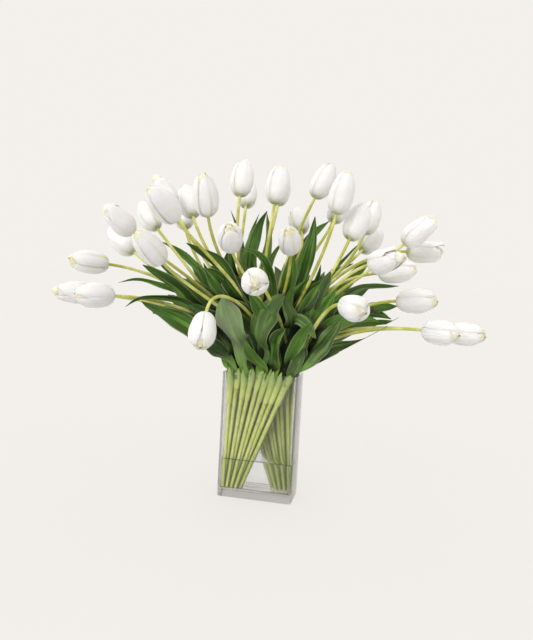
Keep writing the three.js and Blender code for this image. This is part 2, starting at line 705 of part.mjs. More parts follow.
// Water to the level line, with a plain hole for each stem, as wide as the stem is there.
const HOLE_SPAN = [-0.03, 0.32];
function waterSolid() {
  const width = innerWidth - 2 * FIT_GAP;
  const depth = innerDepth - 2 * FIT_GAP;
  const rise = (WATER_LEVEL - WATER_SEAT) / (NECK_HEIGHT - WATER_SEAT) / WRAPPED_SHARE;
  const hole = THREE.MathUtils.lerp(STEM_FOOT_RADIUS, STEM_WRAPPED_RADIUS, rise) + FIT_GAP;
  let water = roundedBlock(width, depth, 0, WATER_LEVEL - WATER_SEAT, BORE_CORNER - FIT_GAP);
  for (const tulip of tulips) {
    const ends = HOLE_SPAN.map((share) => tulip.foot.clone().lerp(tulip.neck, share));
    ends.forEach((end) => {
      end.z -= WATER_SEAT;
    });
    water = water.subtract(tube(ends, [hole, hole], STEM_SIDES));
  }
  return largest(water);
}

// Leafy stems, two tulips to a bunch: the pair press together at the foot.
function bunches() {
  const made = new Map();
  for (const tulip of tulips) {
    const stem = stemSolid(tulip, 0);
    const now = made.get(tulip.group);
    made.set(tulip.group, now === undefined ? stem : now.add(stem));
  }
  const stemCutters = tulips.map((tulip) => ({ group: tulip.group, body: stemSolid(tulip, TRIM_GAP) }));
  const fixedCutters = [rimCutter, ...tulips.map(bloomCutter)];
  const leafCutters = [];
  for (const leaf of leaves) {
    const { group } = leaf.tulip;
    let body = leafSolid(leaf, 0);
    for (const cutter of fixedCutters) {
      body = body.subtract(cutter);
    }
    for (const cutter of [...stemCutters, ...leafCutters]) {
      if (cutter.group !== group) {
        body = body.subtract(cutter.body);
      }
    }
    leafCutters.push({ group, body: leafSolid(leaf, TRIM_GAP) });
    made.set(group, made.get(group).add(largest(body)));
  }
  return made;
}

function meshOf(body, name, finish) {
  const made = body.getMesh();
  const geometry = new THREE.BufferGeometry();
  geometry.setAttribute('position', new THREE.BufferAttribute(made.vertProperties, 3));
  geometry.setIndex(new THREE.BufferAttribute(made.triVerts, 1));
  geometry.computeVertexNormals();
  const mesh = new THREE.Mesh(geometry, finish);
  mesh.name = name;
  return mesh;
}

const clearGlass = new THREE.MeshStandardMaterial({
  color: 0xe9f1ee, roughness: 0.03, metalness: 0, transparent: true, opacity: 0.3,
});
const stillWater = new THREE.MeshStandardMaterial({
  color: 0xdcebe0, roughness: 0.02, metalness: 0, transparent: true, opacity: 0.35,
});
const petalWhite = new THREE.MeshStandardMaterial({ color: 0xf4f3ee, roughness: 0.55, metalness: 0 });
const leafGreen = new THREE.MeshStandardMaterial({ color: 0x4c7436, roughness: 0.5, metalness: 0 });

const twoDigits = (number) => String(number).padStart(2, '0');

const holder = new THREE.Group();
holder.add(meshOf(vase, 'vase', clearGlass));
const water = meshOf(waterSolid(), 'water', stillWater);
water.position.z = WATER_SEAT;
holder.add(water);

const blooms = new THREE.Group();
for (const tulip of tulips) {
  const bloom = meshOf(bloomSolid(tulip), `bloom_${twoDigits(tulip.number)}`, petalWhite);
  const level = V(0, -1, 0).cross(tulip.direction).normalize();
  const first = turned(level, tulip.direction, tulip.number * PETAL_TURN);
  const second = tulip.direction.clone().cross(first);
  bloom.position.copy(tulip.arc[ARC_SAMPLES - 1]);
  bloom.quaternion.setFromRotationMatrix(new THREE.Matrix4().makeBasis(first, second, tulip.direction));
  blooms.add(bloom);
}

const greens = new THREE.Group();
for (const [group, body] of [...bunches()].sort((a, b) => a[0] - b[0])) {
  const { foot } = tulips.find((tulip) => tulip.group === group);
  const bunch = meshOf(body.translate([-foot.x, -foot.y, -foot.z]), `stems_${twoDigits(group)}`, leafGreen);
  bunch.position.copy(foot);
  greens.add(bunch);
}

const root = new THREE.Group();
root.name = 'tulips_in_vase';
root.add(holder, blooms, greens);

export default root;
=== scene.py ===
import math

import bpy
import numpy as np
from mathutils import Matrix


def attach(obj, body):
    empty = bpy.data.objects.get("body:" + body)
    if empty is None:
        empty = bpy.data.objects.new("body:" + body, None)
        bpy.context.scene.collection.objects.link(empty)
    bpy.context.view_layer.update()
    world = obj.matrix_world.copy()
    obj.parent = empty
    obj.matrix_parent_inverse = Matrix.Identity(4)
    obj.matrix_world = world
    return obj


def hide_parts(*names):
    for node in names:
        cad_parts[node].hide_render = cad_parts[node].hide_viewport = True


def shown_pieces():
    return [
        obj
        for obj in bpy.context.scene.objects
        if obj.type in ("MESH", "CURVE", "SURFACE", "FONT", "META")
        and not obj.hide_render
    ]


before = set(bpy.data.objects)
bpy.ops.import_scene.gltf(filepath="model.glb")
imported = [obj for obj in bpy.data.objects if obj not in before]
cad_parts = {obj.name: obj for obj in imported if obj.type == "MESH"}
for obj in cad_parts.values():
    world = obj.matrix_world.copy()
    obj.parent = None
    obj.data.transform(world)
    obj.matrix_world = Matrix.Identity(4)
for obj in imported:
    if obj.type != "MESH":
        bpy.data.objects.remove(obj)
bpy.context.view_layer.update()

# Tulips in a clear glass vase. Lengths are in millimetres, +Z up, as in the part, and only
# finished meshes are scaled to metres. Materials, floor and camera work in metres.
toMetres = 0.001
print("frame loaded:", len(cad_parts), "nodes")

# sizes that the laying out and the making of pieces share
vase = {
    "width": 120, "depth": 60, "height": 200, "wall": 4, "floor": 13, "corner": 5,
    "boreCorner": 2, "waterLevel": 60, "fitGap": 0.3, "footEase": 1.2, "lipEase": 1.4, "cove": 2.5,
}
stem = {
    "footRadius": 2.75, "wrappedRadius": 3.8, "wrappedShare": 0.55, "neckRadius": 3.1,
    "topRadius": 2.3, "neckHeight": 205, "neckPitch": 12, "neckRows": (-17.8, -6.1, 6.1, 17.8),
    "bend": 0.35, "samples": 51, "lowSamples": 22, "sides": 14, "clearance": 2, "rounds": 120,
    "eased": 0.2, "headPull": 0.4, "smoothing": 6, "looseness": 6, "swell": (-0.3, 1.3),
    "thinsOver": 0.16, "tintStep": 0.37,
}
bloom = {
    "length": 64, "radius": 17.7, "turn": 2.1,
    "headShares": (0.16, 0.34, 0.52, 0.7, 0.9), "headRadii": (13, 18, 18.5, 15.5, 10),
}
leaf = {
    "samples": 14, "sheathRise": 12, "sheathOffset": 5.2, "leave": 0.3, "rounds": 90,
    "clearance": 3.5, "sheathShare": 0.36, "sheathFold": 0.35, "cupFold": 0.5,
    "waveHeight": 0.075, "waveLength": 17, "edgeSwings": ((1.7, 0), (2.3, 2)),
    "blunt": (0, 1, 2, 4),
}

# number, neck row, neck column, x y z of the bloom's base, the way it points (degrees round,
# degrees up), size, openness, how far back the stem's last bend is pulled
tulipTable = [
    (1, 3, 4, -50, -15, 475, 90, 70, 1.0, 0, 0.35),
    (2, 4, 2, -65, 85, 470, 100, 50, 0.96, 0.1, 0.35),
    (3, 3, 5, 5, -10, 465, 65, 78, 1.03, 0, 0.35),
    (4, 4, 3, -10, 90, 475, 90, 60, 0.95, 0.1, 0.35),
    (5, 3, 6, 60, 40, 482, 30, 65, 1.0, 0, 0.35),
    (6, 2, 6, 105, -40, 450, 10, 78, 1.03, 0, 0.35),
    (7, 4, 5, 85, 95, 450, 70, 50, 0.98, 0.1, 0.35),
    (8, 2, 7, 125, -20, 415, 55, 60, 1.03, 0.05, 0.35),
    (9, 4, 6, 140, 75, 430, 50, 68, 0.96, 0.05, 0.35),
    (10, 4, 7, 135, 120, 405, 60, 35, 0.98, 0.1, 0.35),
    (11, 3, 8, 205, 20, 413, 10, 45, 1.04, 0.1, 0.35),
    (12, 4, 8, 210, 80, 405, 20, 2, 1.03, 0.2, 0.35),
    (13, 2, 8, 160, -55, 378, -40, 12, 1.02, 0.1, 0.35),
    (14, 3, 7, 165, 25, 372, -15, 8, 0.98, 0.1, 0.35),
    (15, 3, 9, 200, 25, 325, -20, 5, 1.03, 0.15, 0.35),
    (16, 1, 9, 130, -110, 320, -55, -5, 0.9, 0.35, 0.3),
    (17, 2, 9, 243, -10, 285, -40, 0, 1.0, 0.1, 0.35),
    (18, 4, 9, 280, 50, 280, -25, 0, 0.98, 0.1, 0.35),
    (19, 2, 5, 42, -52, 391, -85, 33, 0.88, 0.15, 0.3),
    (20, 4, 4, 35, 80, 430, 115, 40, 0.98, 0.1, 0.35),
    (21, 1, 7, -40, -85, 391, -80, 28, 0.94, 0.2, 0.3),
    (22, 2, 4, -80, -78, 436, -100, 69, 1.04, 0, 0.35),
    (23, 2, 3, -123, -20, 440, 135, 55, 1.0, 0, 0.35),
    (24, 3, 3, -160, 50, 428, 120, 44, 0.95, 0.1, 0.35),
    (25, 1, 5, -110, -130, 425, -118, 37, 1.06, 0, 0.35),
    (26, 2, 2, -145, -50, 448, -165, 58, 0.98, 0, 0.35),
    (27, 3, 2, -192, 5, 420, 165, 45, 0.95, 0, 0.35),
    (28, 1, 3, -198, -78, 407, -130, 38, 1.02, 0.05, 0.35),
    (29, 3, 1, -230, 0, 380, 170, 33, 1.0, 0.1, 0.35),
    (30, 1, 4, -132, -120, 365, -118, 38, 1.04, 0, 0.35),
    (31, 2, 1, -250, -50, 358, -135, 4, 1.0, 0.1, 0.35),
    (32, 1, 2, -210, -112, 312, -125, 0, 1.0, 0.1, 0.35),
    (33, 1, 1, -270, -63, 310, -140, 3, 1.0, 0.1, 0.35),
    (34, 1, 6, -53, -154, 297, -80, -44, 0.94, 0.35, 0.58),
    (35, 1, 8, 4, -116, 352, -75, -12, 0.91, 0.45, 0.2),
    (36, 4, 1, -95, 130, 325, 115, 5, 0.98, 0.1, 0.35),
]

# tulip, height it leaves the stem, a point it passes, its tip, width, cup (1 hollow side out,
# -1 hollow side in), roll in degrees
leafTable = [
    (28, 186, -32, -66, 262, -50, -86, 318, 38, -1, 8),
    (25, 186, 2, -52, 267, 36, -66, 327, 32, -1, -12),
    (21, 176, 50, -40, 290, 88, -58, 266, 20, -1, -20),
    (35, 190, 60, -48, 258, 80, -60, 290, 18, 1, 25),
    (16, 172, 56, -30, 222, 64, -36, 248, 18, -1, 10),
    (16, 188, 92, -34, 252, 122, -40, 297, 24, -1, -30),
    (17, 190, 90, -12, 226, 120, -18, 246, 20, -1, -25),
    (15, 186, 122, 6, 240, 188, 8, 286, 34, 1, 4),
    (11, 184, 145, 46, 304, 202, 62, 316, 24, 1, 20),
    (18, 186, 165, 85, 284, 236, 102, 295, 10, 1, 50),
    (11, 182, 130, 12, 338, 200, 20, 366, 13, -1, 30),
    (10, 182, 115, 58, 345, 152, 82, 395, 22, 1, 10),
    (33, 184, -115, -55, 274, -176, -88, 305, 28, 1, -25),
    (32, 178, -72, -66, 246, -86, -92, 272, 20, -1, 10),
    (26, 180, -68, -28, 260, -100, -42, 308, 22, 1, 0),
    (31, 184, -130, -52, 328, -182, -74, 360, 24, 1, -15),
    (27, 182, -145, 2, 378, -186, 6, 400, 14, 1, 10),
    (24, 182, -130, 36, 350, -156, 50, 386, 11, 1, 0),
    (22, 176, -52, -52, 350, -112, -78, 396, 27, 1, -20),
    (24, 178, -62, 16, 433, -72, 14, 456, 9, 1, 35),
    (1, 176, -32, 22, 410, -16, 34, 458, 25, 1, 12),
    (4, 180, -14, 42, 405, -20, 52, 456, 18, -1, -10),
    (3, 186, -36, -30, 374, -42, -28, 397, 15, -1, 10),
    (19, 184, -8, -42, 384, -32, -66, 392, 14, 1, 30),
    (5, 178, 36, -12, 352, 36, -16, 396, 27, 1, 0),
    (3, 186, -6, 14, 362, 14, 24, 408, 19, 1, -15),
    (5, 176, 58, 10, 385, 66, 14, 450, 26, 1, -8),
    (7, 180, 45, 62, 410, 80, 86, 450, 20, 1, 15),
    (14, 184, 72, 34, 350, 76, 40, 376, 12, 1, 20),
    (9, 182, 100, 82, 368, 124, 104, 382, 14, 1, 10),
    (8, 176, 74, -26, 315, 90, -32, 345, 26, 1, -12),
    (21, 184, 24, -44, 242, 42, -56, 277, 22, 1, -20),
    (34, 184, -6, -54, 230, -16, -66, 256, 16, 1, 10),
    (23, 180, -95, -14, 335, -116, -10, 366, 20, 1, -8),
    (29, 184, -145, -18, 340, -180, -18, 366, 16, 1, 12),
    (31, 182, -180, -36, 335, -230, -54, 330, 10, 1, -40),
    (32, 188, -160, -76, 314, -196, -100, 296, 11, 1, -40),
    (12, 188, 105, 96, 385, 130, 114, 416, 9, 1, 30),
    (2, 180, -50, 62, 410, -40, 82, 458, 9, 1, 20),
    (36, 178, -65, 80, 290, -135, 120, 345, 26, -1, 10),
    (2, 176, -45, 85, 330, -95, 135, 375, 26, -1, 0),
    (4, 174, -5, 90, 320, -20, 140, 370, 28, -1, 0),
    (7, 176, 50, 92, 320, 70, 140, 365, 28, -1, 0),
    (9, 174, 90, 80, 300, 150, 120, 340, 26, -1, -10),
    (12, 174, 105, 70, 262, 175, 110, 285, 24, -1, -10),
    (6, 182, 78, 0, 335, 112, 12, 378, 18, 1, 10),
]


def unit(v):
    return v / np.maximum(np.linalg.norm(v, axis=-1, keepdims=True), 1e-12)


def dot(a, b):
    return (a * b).sum(-1, keepdims=True)


def softStep(x, low, high):
    t = np.clip((np.asarray(x, float) - low) / (high - low), 0, 1)
    return t * t * (3 - 2 * t)


def bezier(a, b, c, d, count):
    t = np.linspace(0, 1, count)[:, None]
    k = 1 - t
    return k**3 * a + 3 * k * k * t * b + 3 * k * t * t * c + t**3 * d


def smoothField(field, passes):  # along axis 1, ends repeated
    for _ in range(passes):
        padded = np.concatenate([field[:, :1], field, field[:, -1:]], 1)
        field = (padded[:, :-2] + 2 * padded[:, 1:-1] + padded[:, 2:]) / 4
    return field


feet = {  # on the vase's floor, front half: the outer and inner rows, each with its ninth stem last
    "start": -51.5, "pitch": 6.8, "ninth": -24.5,
    "outer": (-22, -18.2, -16), "inner": (-10.1, -6.3, -12.2),
}


def placeOf(row, column):  # back half or not, place along it, inner row or not
    back = row > 2
    return back, 9 - column if back else column - 1, row in (2, 3)


def footOf(row, column):  # where a stem stands
    back, place, inside = placeOf(row, column)
    ninth = place == 8
    x = feet["ninth"] if ninth else feet["start"] + feet["pitch"] * (place // 2)
    y = feet["inner" if inside else "outer"][2 if ninth else place % 2]
    side = -1 if back else 1
    return np.array([side * x, side * y, vase["floor"] + vase["fitGap"]])


def stemGroup(row, column):  # the part keeps two tulips to a bunch
    back, place, inside = placeOf(row, column)
    return 9 * back + (9 if place == 8 else place // 2 + 1 + 4 * inside)


def layTulips():
    tulips = []
    for number, row, column, x, y, z, compass, lift, size, openness, arm in tulipTable:
        r, u = math.radians(compass), math.radians(lift)
        direction = np.array([math.cos(u) * math.cos(r), math.cos(u) * math.sin(r), math.sin(u)])
        foot = footOf(row, column)
        neck = np.array([stem["neckPitch"] * (column - 5), stem["neckRows"][row - 1], stem["neckHeight"]])
        base = np.array([x, y, z], float)
        reach = np.linalg.norm(base - neck)
        arc = bezier(neck, neck + unit(neck - foot) * stem["bend"] * reach,
                     base - direction * arm * reach, base, stem["samples"])
        tulips.append({"number": number, "size": size, "open": openness, "foot": foot, "neck": neck,
                       "arc": arc, "direction": direction, "group": stemGroup(row, column)})
    return tulips


def headMarks(tulips):  # points down the middle of every bloom
    share = np.array(bloom["headShares"]) * bloom["length"]
    return np.array([t["arc"][-1] + t["direction"] * (share * t["size"])[:, None] for t in tulips])


def closePairs(a, b, need, allowed):  # which marks lie nearer than they should
    square = (a * a).sum(1)[:, None] + (b * b).sum(1)[None] - 2 * a @ b.T
    first, second = np.nonzero(allowed & (square < need * need))
    gap = a[first] - b[second]
    far = np.linalg.norm(gap, axis=1)
    keep = (far < need[first, second]) & (far > 1e-3)
    first, second, gap, far = first[keep], second[keep], gap[keep], far[keep]
    press = need[first, second] - far
    return first, second, gap * (press / far)[:, None], press


def easeStems(tulips):  # stems and blooms that press together move apart
    samples = stem["samples"]
    t = np.linspace(0, 1, samples)
    shaft = stem["neckRadius"] + (stem["topRadius"] - stem["neckRadius"]) * t
    heads = np.array(bloom["headRadii"])
    radius = np.concatenate([np.concatenate([shaft, heads * u["size"]]) for u in tulips])
    perTulip = samples + len(heads)
    owner = np.repeat(np.arange(len(tulips)), perTulip)
    place = np.tile(np.concatenate([np.arange(samples), np.full(len(heads), samples)]), len(tulips))
    need = radius[:, None] + radius[None] + stem["clearance"]
    allowed = np.triu(owner[:, None] != owner[None], 1)
    loose = np.minimum(1, t * stem["looseness"])[:, None]
    for _ in range(stem["rounds"]):
        arcs = np.array([u["arc"] for u in tulips])
        marks = np.concatenate([arcs, headMarks(tulips)], 1).reshape(-1, 3)
        first, second, shift, press = closePairs(marks, marks, need, allowed)
        push = np.zeros((len(tulips), samples + 1, 3))
        np.add.at(push, (owner[first], place[first]), shift / 2)
        np.add.at(push, (owner[second], place[second]), -shift / 2)
        own = push[:, :samples] + stem["headPull"] * push[:, samples:] * (t * t)[:, None]
        arcs = arcs + smoothField(own, stem["smoothing"]) * loose
        for u, arc in zip(tulips, arcs):
            u["arc"] = arc
        if not len(press) or press.max() < stem["eased"]:
            break


def layLeaves(tulips, table, firstIndex=0):
    byNumber = {u["number"]: u for u in tulips}
    leaves = []
    for index, row in enumerate(table, firstIndex):
        u = byNumber[row[0]]
        via, tip = np.array(row[2:5], float), np.array(row[5:8], float)
        up = (row[1] - u["foot"][2]) / (u["neck"][2] - u["foot"][2])
        root = u["foot"] + (u["neck"] - u["foot"]) * up
        along = unit(u["neck"] - u["foot"])
        out = via - root
        out = unit(out - along * (out @ along))
        start = root + along * leaf["sheathRise"] + out * leaf["sheathOffset"]
        reach = np.linalg.norm(start - via) + np.linalg.norm(via - tip)
        leave = start + along * leaf["leave"] * reach
        p = np.linalg.norm(start - via) / reach  # where along the curve it passes the given point
        k = 1 - p
        pull = (via - k**3 * start - 3 * k * k * p * leave - p**3 * tip) / (3 * k * p * p)
        line = np.concatenate([root[None], bezier(start, leave, pull, tip, leaf["samples"] - 1)])
        leaves.append({"index": index, "tulip": u, "width": row[8], "cup": row[9], "roll": row[10],
                       "line": line, "reach": reach, "out": out})
    return leaves


outlineAt = (0, 0.077, 0.22, 0.36, 0.52, 0.68, 0.84, 0.94, 1)
outlines = {  # widths along a leaf: the part's, a fuller one, and that of the blunt front leaves
    "slim": (0.14, 0.36, 0.52, 0.84, 1, 0.92, 0.6, 0.28, 0.05),
    "full": (0.14, 0.36, 0.54, 0.86, 1.03, 1.0, 0.74, 0.42, 0.1),
    "blunt": (0.14, 0.36, 0.5, 0.76, 0.94, 1.02, 0.94, 0.66, 0.3),
}


def frameLeaves(lines, roll, out):  # the ways across and out of each blade at every sample
    padded = np.concatenate([lines[:, :1], lines, lines[:, -1:]], 1)
    along = unit(padded[:, 2:] - padded[:, :-2])
    side = unit(np.cross(along, [0, -1, 0]))
    t = np.linspace(0, 1, leaf["samples"])
    turn = np.radians(roll)[:, None, None] * t[None, :, None]
    level = side * np.cos(turn) + np.cross(along, side) * np.sin(turn)
    facing = unit(np.cross(level, along))
    out = np.broadcast_to(out[:, None], along.shape)
    sheath = out * np.where(dot(out, facing) < 0, -1, 1)
    blend = softStep(t, 0, leaf["sheathShare"])[None, :, None]
    normal = sheath * (1 - blend) + facing * blend
    normal = unit(normal - along * dot(normal, along))
    across = np.cross(along, normal)
    outer = np.where(dot(out, normal) < 0, -1, 1)[..., 0]
    return across, normal, outer


def leafEdges(t, half, cup, outer, reach, width, index, waveHeight):  # each edge's height over the face
    blend = softStep(t, 0, leaf["sheathShare"])
    fold = -outer * leaf["sheathFold"] * (1 - blend) + cup * leaf["cupFold"] * (1 - t / 2) * blend
    waves = width * waveHeight * np.sin(np.pi * t)
    swing = t * reach / leaf["waveLength"]
    return [fold * half + waves * np.sin(swing + index * pace + start) for pace, start in leaf["edgeSwings"]]


def leafMarks(lines, roll, out, half, *shape):  # left edge, middle and right edge of every row
    across, normal, outer = frames = frameLeaves(lines, roll, out)
    t, cup, reach, width, index = shape
    left, right = leafEdges(t, half, cup, outer, reach, width, index, leaf["waveHeight"])
    return frames, np.stack([
        lines - across * half[..., None] + normal * left[..., None],
        lines,
        lines + across * half[..., None] + normal * right[..., None],
    ], 2)


easing = {  # how leaves give way: firm against stems and blooms, softer against each other
    "firstRow": 3, "stemRadius": 3, "leafRadius": 0.7, "mostMove": 3, "firm": 0.5, "soft": 0.25,
    "held": 0.15, "looseness": 3,
}


def easeLeaves(leaves, tulips, settled=()):  # leaves lie clear of stems, blooms and each other
    samples, firstRow, leafRadius = leaf["samples"], easing["firstRow"], easing["leafRadius"]
    lines = np.array([f["line"] for f in leaves])
    column = lambda key: np.array([f[key] for f in leaves], float)
    roll, out = column("roll"), column("out")
    cup, width, reach, index = (column(k)[:, None] for k in ("cup", "width", "reach", "index"))
    t = np.linspace(0, 1, samples)[None]
    half = width / 2 * np.interp(t, outlineAt, outlines["slim"])
    shape = (half, t, cup, reach, width, index)
    arcs = np.array([u["arc"][::2] for u in tulips]).reshape(-1, 3)
    heads = headMarks(tulips).reshape(-1, 3)
    others = np.concatenate([f["marks"].reshape(-1, 3) for f in settled]) if settled else np.zeros((0, 3))
    fixed = np.concatenate([arcs, heads, others])
    headRadii = np.concatenate([np.array(bloom["headRadii"]) * u["size"] for u in tulips])
    fixedRadius = np.concatenate([np.full(len(arcs), easing["stemRadius"]), headRadii,
                                  np.full(len(others), leafRadius)])
    rows = samples - firstRow
    owner = np.repeat(np.arange(len(leaves)), rows * 3)
    place = np.tile(np.repeat(np.arange(firstRow, samples), 3), len(leaves))
    needFixed = np.broadcast_to(leafRadius + fixedRadius[None] + leaf["clearance"],
                                (len(owner), len(fixed)))
    needOwn = np.full((len(owner), len(owner)), 2 * leafRadius + leaf["clearance"])
    allowed = np.triu(owner[:, None] != owner[None], 1)
    anyPair = np.ones((1, 1), bool)
    loose = np.clip((t[0] - easing["held"]) * easing["looseness"], 0, 1)[None, :, None]
    for _ in range(leaf["rounds"]):
        marks = leafMarks(lines, roll, out, *shape)[1][:, firstRow:].reshape(-1, 3)
        push = np.zeros(lines.shape)
        first, _, shift, _ = closePairs(marks, fixed, needFixed, anyPair)
        np.add.at(push, (owner[first], place[first]), shift * easing["firm"])
        first, second, shift, _ = closePairs(marks, marks, needOwn, allowed)
        np.add.at(push, (owner[first], place[first]), shift * easing["soft"])
        np.add.at(push, (owner[second], place[second]), -shift * easing["soft"])
        move = smoothField(push, 2)
        size = np.linalg.norm(move, axis=-1, keepdims=True)
        lines = lines + move * np.minimum(1, easing["mostMove"] / np.maximum(size, 1e-9)) * loose
    frames, marks = leafMarks(lines, roll, out, *shape)
    for k, f in enumerate(leaves):
        f["line"], f["marks"] = lines[k], marks[k]
        f["across"], f["normal"], f["outer"] = (part[k] for part in frames)


tulips = layTulips()
easeStems(tulips)
print("stems laid:", len(tulips))
leaves = layLeaves(tulips, leafTable)
easeLeaves(leaves, tulips)
print("main leaves laid:", len(leaves))

innerLeaf = {  # smaller leaves between the main ones, so that every tulip has at least three
    "perTulip": 3, "heights": (176, 190), "via": (0.26, 0.4), "tip": (0.46, 0.72), "seed": 5,
    "aside": (7, 17), "before": (-8, 8), "further": 1.5, "width": (20, 32), "roll": (-35, 35),
}


def innerRows(tulips, leaves):  # rows like those of the leaf table
    rng = np.random.default_rng(innerLeaf["seed"])
    some = lambda key: rng.uniform(*innerLeaf[key])
    rows = []
    for u in tulips:
        for _ in range(innerLeaf["perTulip"] - sum(f["tulip"] is u for f in leaves)):
            via, tip = (u["arc"][int(some(k) * (stem["samples"] - 1))] for k in ("via", "tip"))
            aside = unit(np.cross(unit(tip - via), [0, -1, 0])) * rng.choice([-1, 1]) * some("aside")
            before = np.array([0, some("before"), 0])
            further = innerLeaf["further"]
            via, tip = via + aside + before, tip + aside * further + before * further
            rows.append((u["number"], some("heights"), *via, *tip,
                         some("width"), rng.choice([-1, 1, 1]), some("roll")))
    return rows


innerLeaves = layLeaves(tulips, innerRows(tulips, leaves), len(leaves))
easeLeaves(innerLeaves, tulips, leaves)
leaves += innerLeaves
print("leaves laid:", len(leaves))

# painted shade: how dark stems and leaves are painted among the leaves. Heart is the middle of the vase's
# mouth, and outward is how much each axis counts in the way out from it.
lightLoss = {
    "reach": 15, "heart": (0, 0, 190), "outward": (0.35, 1, 0.25), "before": 4, "low": 1.2,
    "high": 6.5, "frontLeaves": 0.3, "innerStemShade": 0.3, "shadeBetween": 0.75, "mouth": (195, 230),
    "innerRow": 10,
}


def enclosure(points, owner, marks, owners):  # 0 in the open, 1 deep among the leaves, as the share of painted shade
    outward = unit((points - lightLoss["heart"]) * lightLoss["outward"])
    gap = marks[None] - points[:, None]
    near = np.exp(-(gap * gap).sum(2) / (2 * lightLoss["reach"] ** 2))
    before = np.einsum("ijk,ik->ij", gap, outward) > lightLoss["before"]
    crowd = (near * before * (owners != owner)[None]).sum(1)
    return softStep(crowd, lightLoss["low"], lightLoss["high"])


allMarks = np.concatenate([f["marks"][::2].reshape(-1, 3) for f in leaves])
markOwners = np.repeat(np.arange(len(leaves)), leaf["samples"] // 2 * 3)
# painted shade for each leaf, lighter on the blunt front leaves, and for each stem
for k, f in enumerate(leaves):
    f["depth"] = enclosure(f["marks"].reshape(-1, 3), k, allMarks, markOwners).reshape(-1, 3)
    if f["index"] in leaf["blunt"]:
        f["depth"] *= lightLoss["frontLeaves"]
for u in tulips:
    u["depth"] = enclosure(u["arc"], -1, allMarks, markOwners)
print("light among the leaves estimated")


def addObject(name, data):
    obj = bpy.data.objects.new(name, data)
    bpy.context.scene.collection.objects.link(obj)
    return obj


class Gather:  # blades and bars of one piece, each face with its own finish
    def __init__(self):
        self.points, self.uvs, self.tint, self.shade = [], [], [], []
        self.faces, self.finish, self.sharp, self.count = [], [], [], 0

    def add(self, points, faces, uv, finish, sharp, tint, shade):
        points = np.asarray(points, float).reshape(-1, 3)
        self.points.append(points)
        self.uvs.append(np.asarray(uv, float).reshape(-1, 2))
        self.faces += [tuple(i + self.count for i in f) for f in faces]
        self.finish += list(finish)
        self.sharp += [(a + self.count, b + self.count) for a, b in sharp]
        self.tint.append(np.full(len(points), tint))
        self.shade.append(np.ravel(shade))
        self.count += len(points)

    def make(self, name, materials):
        mesh = bpy.data.meshes.new(name)
        mesh.from_pydata((np.concatenate(self.points) * toMetres).tolist(), [], self.faces)
        mesh.validate()
        mesh.polygons.foreach_set("use_smooth", [True] * len(mesh.polygons))
        mesh.polygons.foreach_set("material_index", self.finish)
        corners = np.zeros(len(mesh.loops), int)
        mesh.loops.foreach_get("vertex_index", corners)
        uvs = np.concatenate(self.uvs)[corners].astype(np.float32)
        mesh.uv_layers.new(name="bladeMap").uv.foreach_set("vector", uvs.ravel())
        for key, values in (("tint", self.tint), ("shade", self.shade)):
            layer = mesh.attributes.new(key, "FLOAT", "POINT")
            layer.data.foreach_set("value", np.concatenate(values).astype(np.float32))
        wanted = {(min(e), max(e)) for e in self.sharp}
        ends = np.zeros(len(mesh.edges) * 2, int)
        mesh.edges.foreach_get("vertices", ends)
        marks = [(min(a, b), max(a, b)) in wanted for a, b in ends.reshape(-1, 2)]
        mesh.attributes.new("sharp_edge", "BOOLEAN", "EDGE").data.foreach_set("value", marks)
        for m in materials:
            mesh.materials.append(m)
        return addObject(name, mesh)


def gridNormals(grid):
    return unit(np.cross(np.gradient(grid, axis=1), np.gradient(grid, axis=0)))


def addBlade(part, grid, thick, finish, tint, shade=0.0):  # two faces and a rim
    rows, columns = grid.shape[:2]
    under = rows * columns
    lift = gridNormals(grid) * (np.broadcast_to(thick, (rows, columns)) / 2)[..., None]
    at = np.arange(under).reshape(rows, columns)
    quads = np.stack([at[:-1, :-1], at[:-1, 1:], at[1:, 1:], at[1:, :-1]], -1).reshape(-1, 4).tolist()
    faces = [f for a, b, c, d in quads for f in ((a, b, c, d), (under + a, under + d, under + c, under + b))]
    rim = [*at[0], *at[1:, -1], *at[-1, -2::-1], *at[-2:0:-1, 0]]
    ends = [(int(a), int(b)) for a, b in zip(rim, rim[1:] + rim[:1])]
    faces += [(b, a, under + a, under + b) for a, b in ends]
    sharp = ends + [(under + a, under + b) for a, b in ends]
    u, v = np.meshgrid(np.linspace(0, 1, columns), np.linspace(0, 1, rows))
    kinds = list(finish) * len(quads) + [finish[0]] * len(ends)
    part.add([grid + lift, grid - lift], faces, [np.stack([u, v], -1)] * 2, kinds, sharp, tint,
             [np.broadcast_to(shade, (rows, columns))] * 2)


def ringFaces(rings, sides):  # the walls between rings of points, then both ends
    last = (rings - 1) * sides
    walls = [(i + k, i + (k + 1) % sides, i + (k + 1) % sides + sides, i + k + sides)
             for i in range(0, last, sides) for k in range(sides)]
    return walls, [tuple(reversed(range(sides))), tuple(range(last, last + sides))]


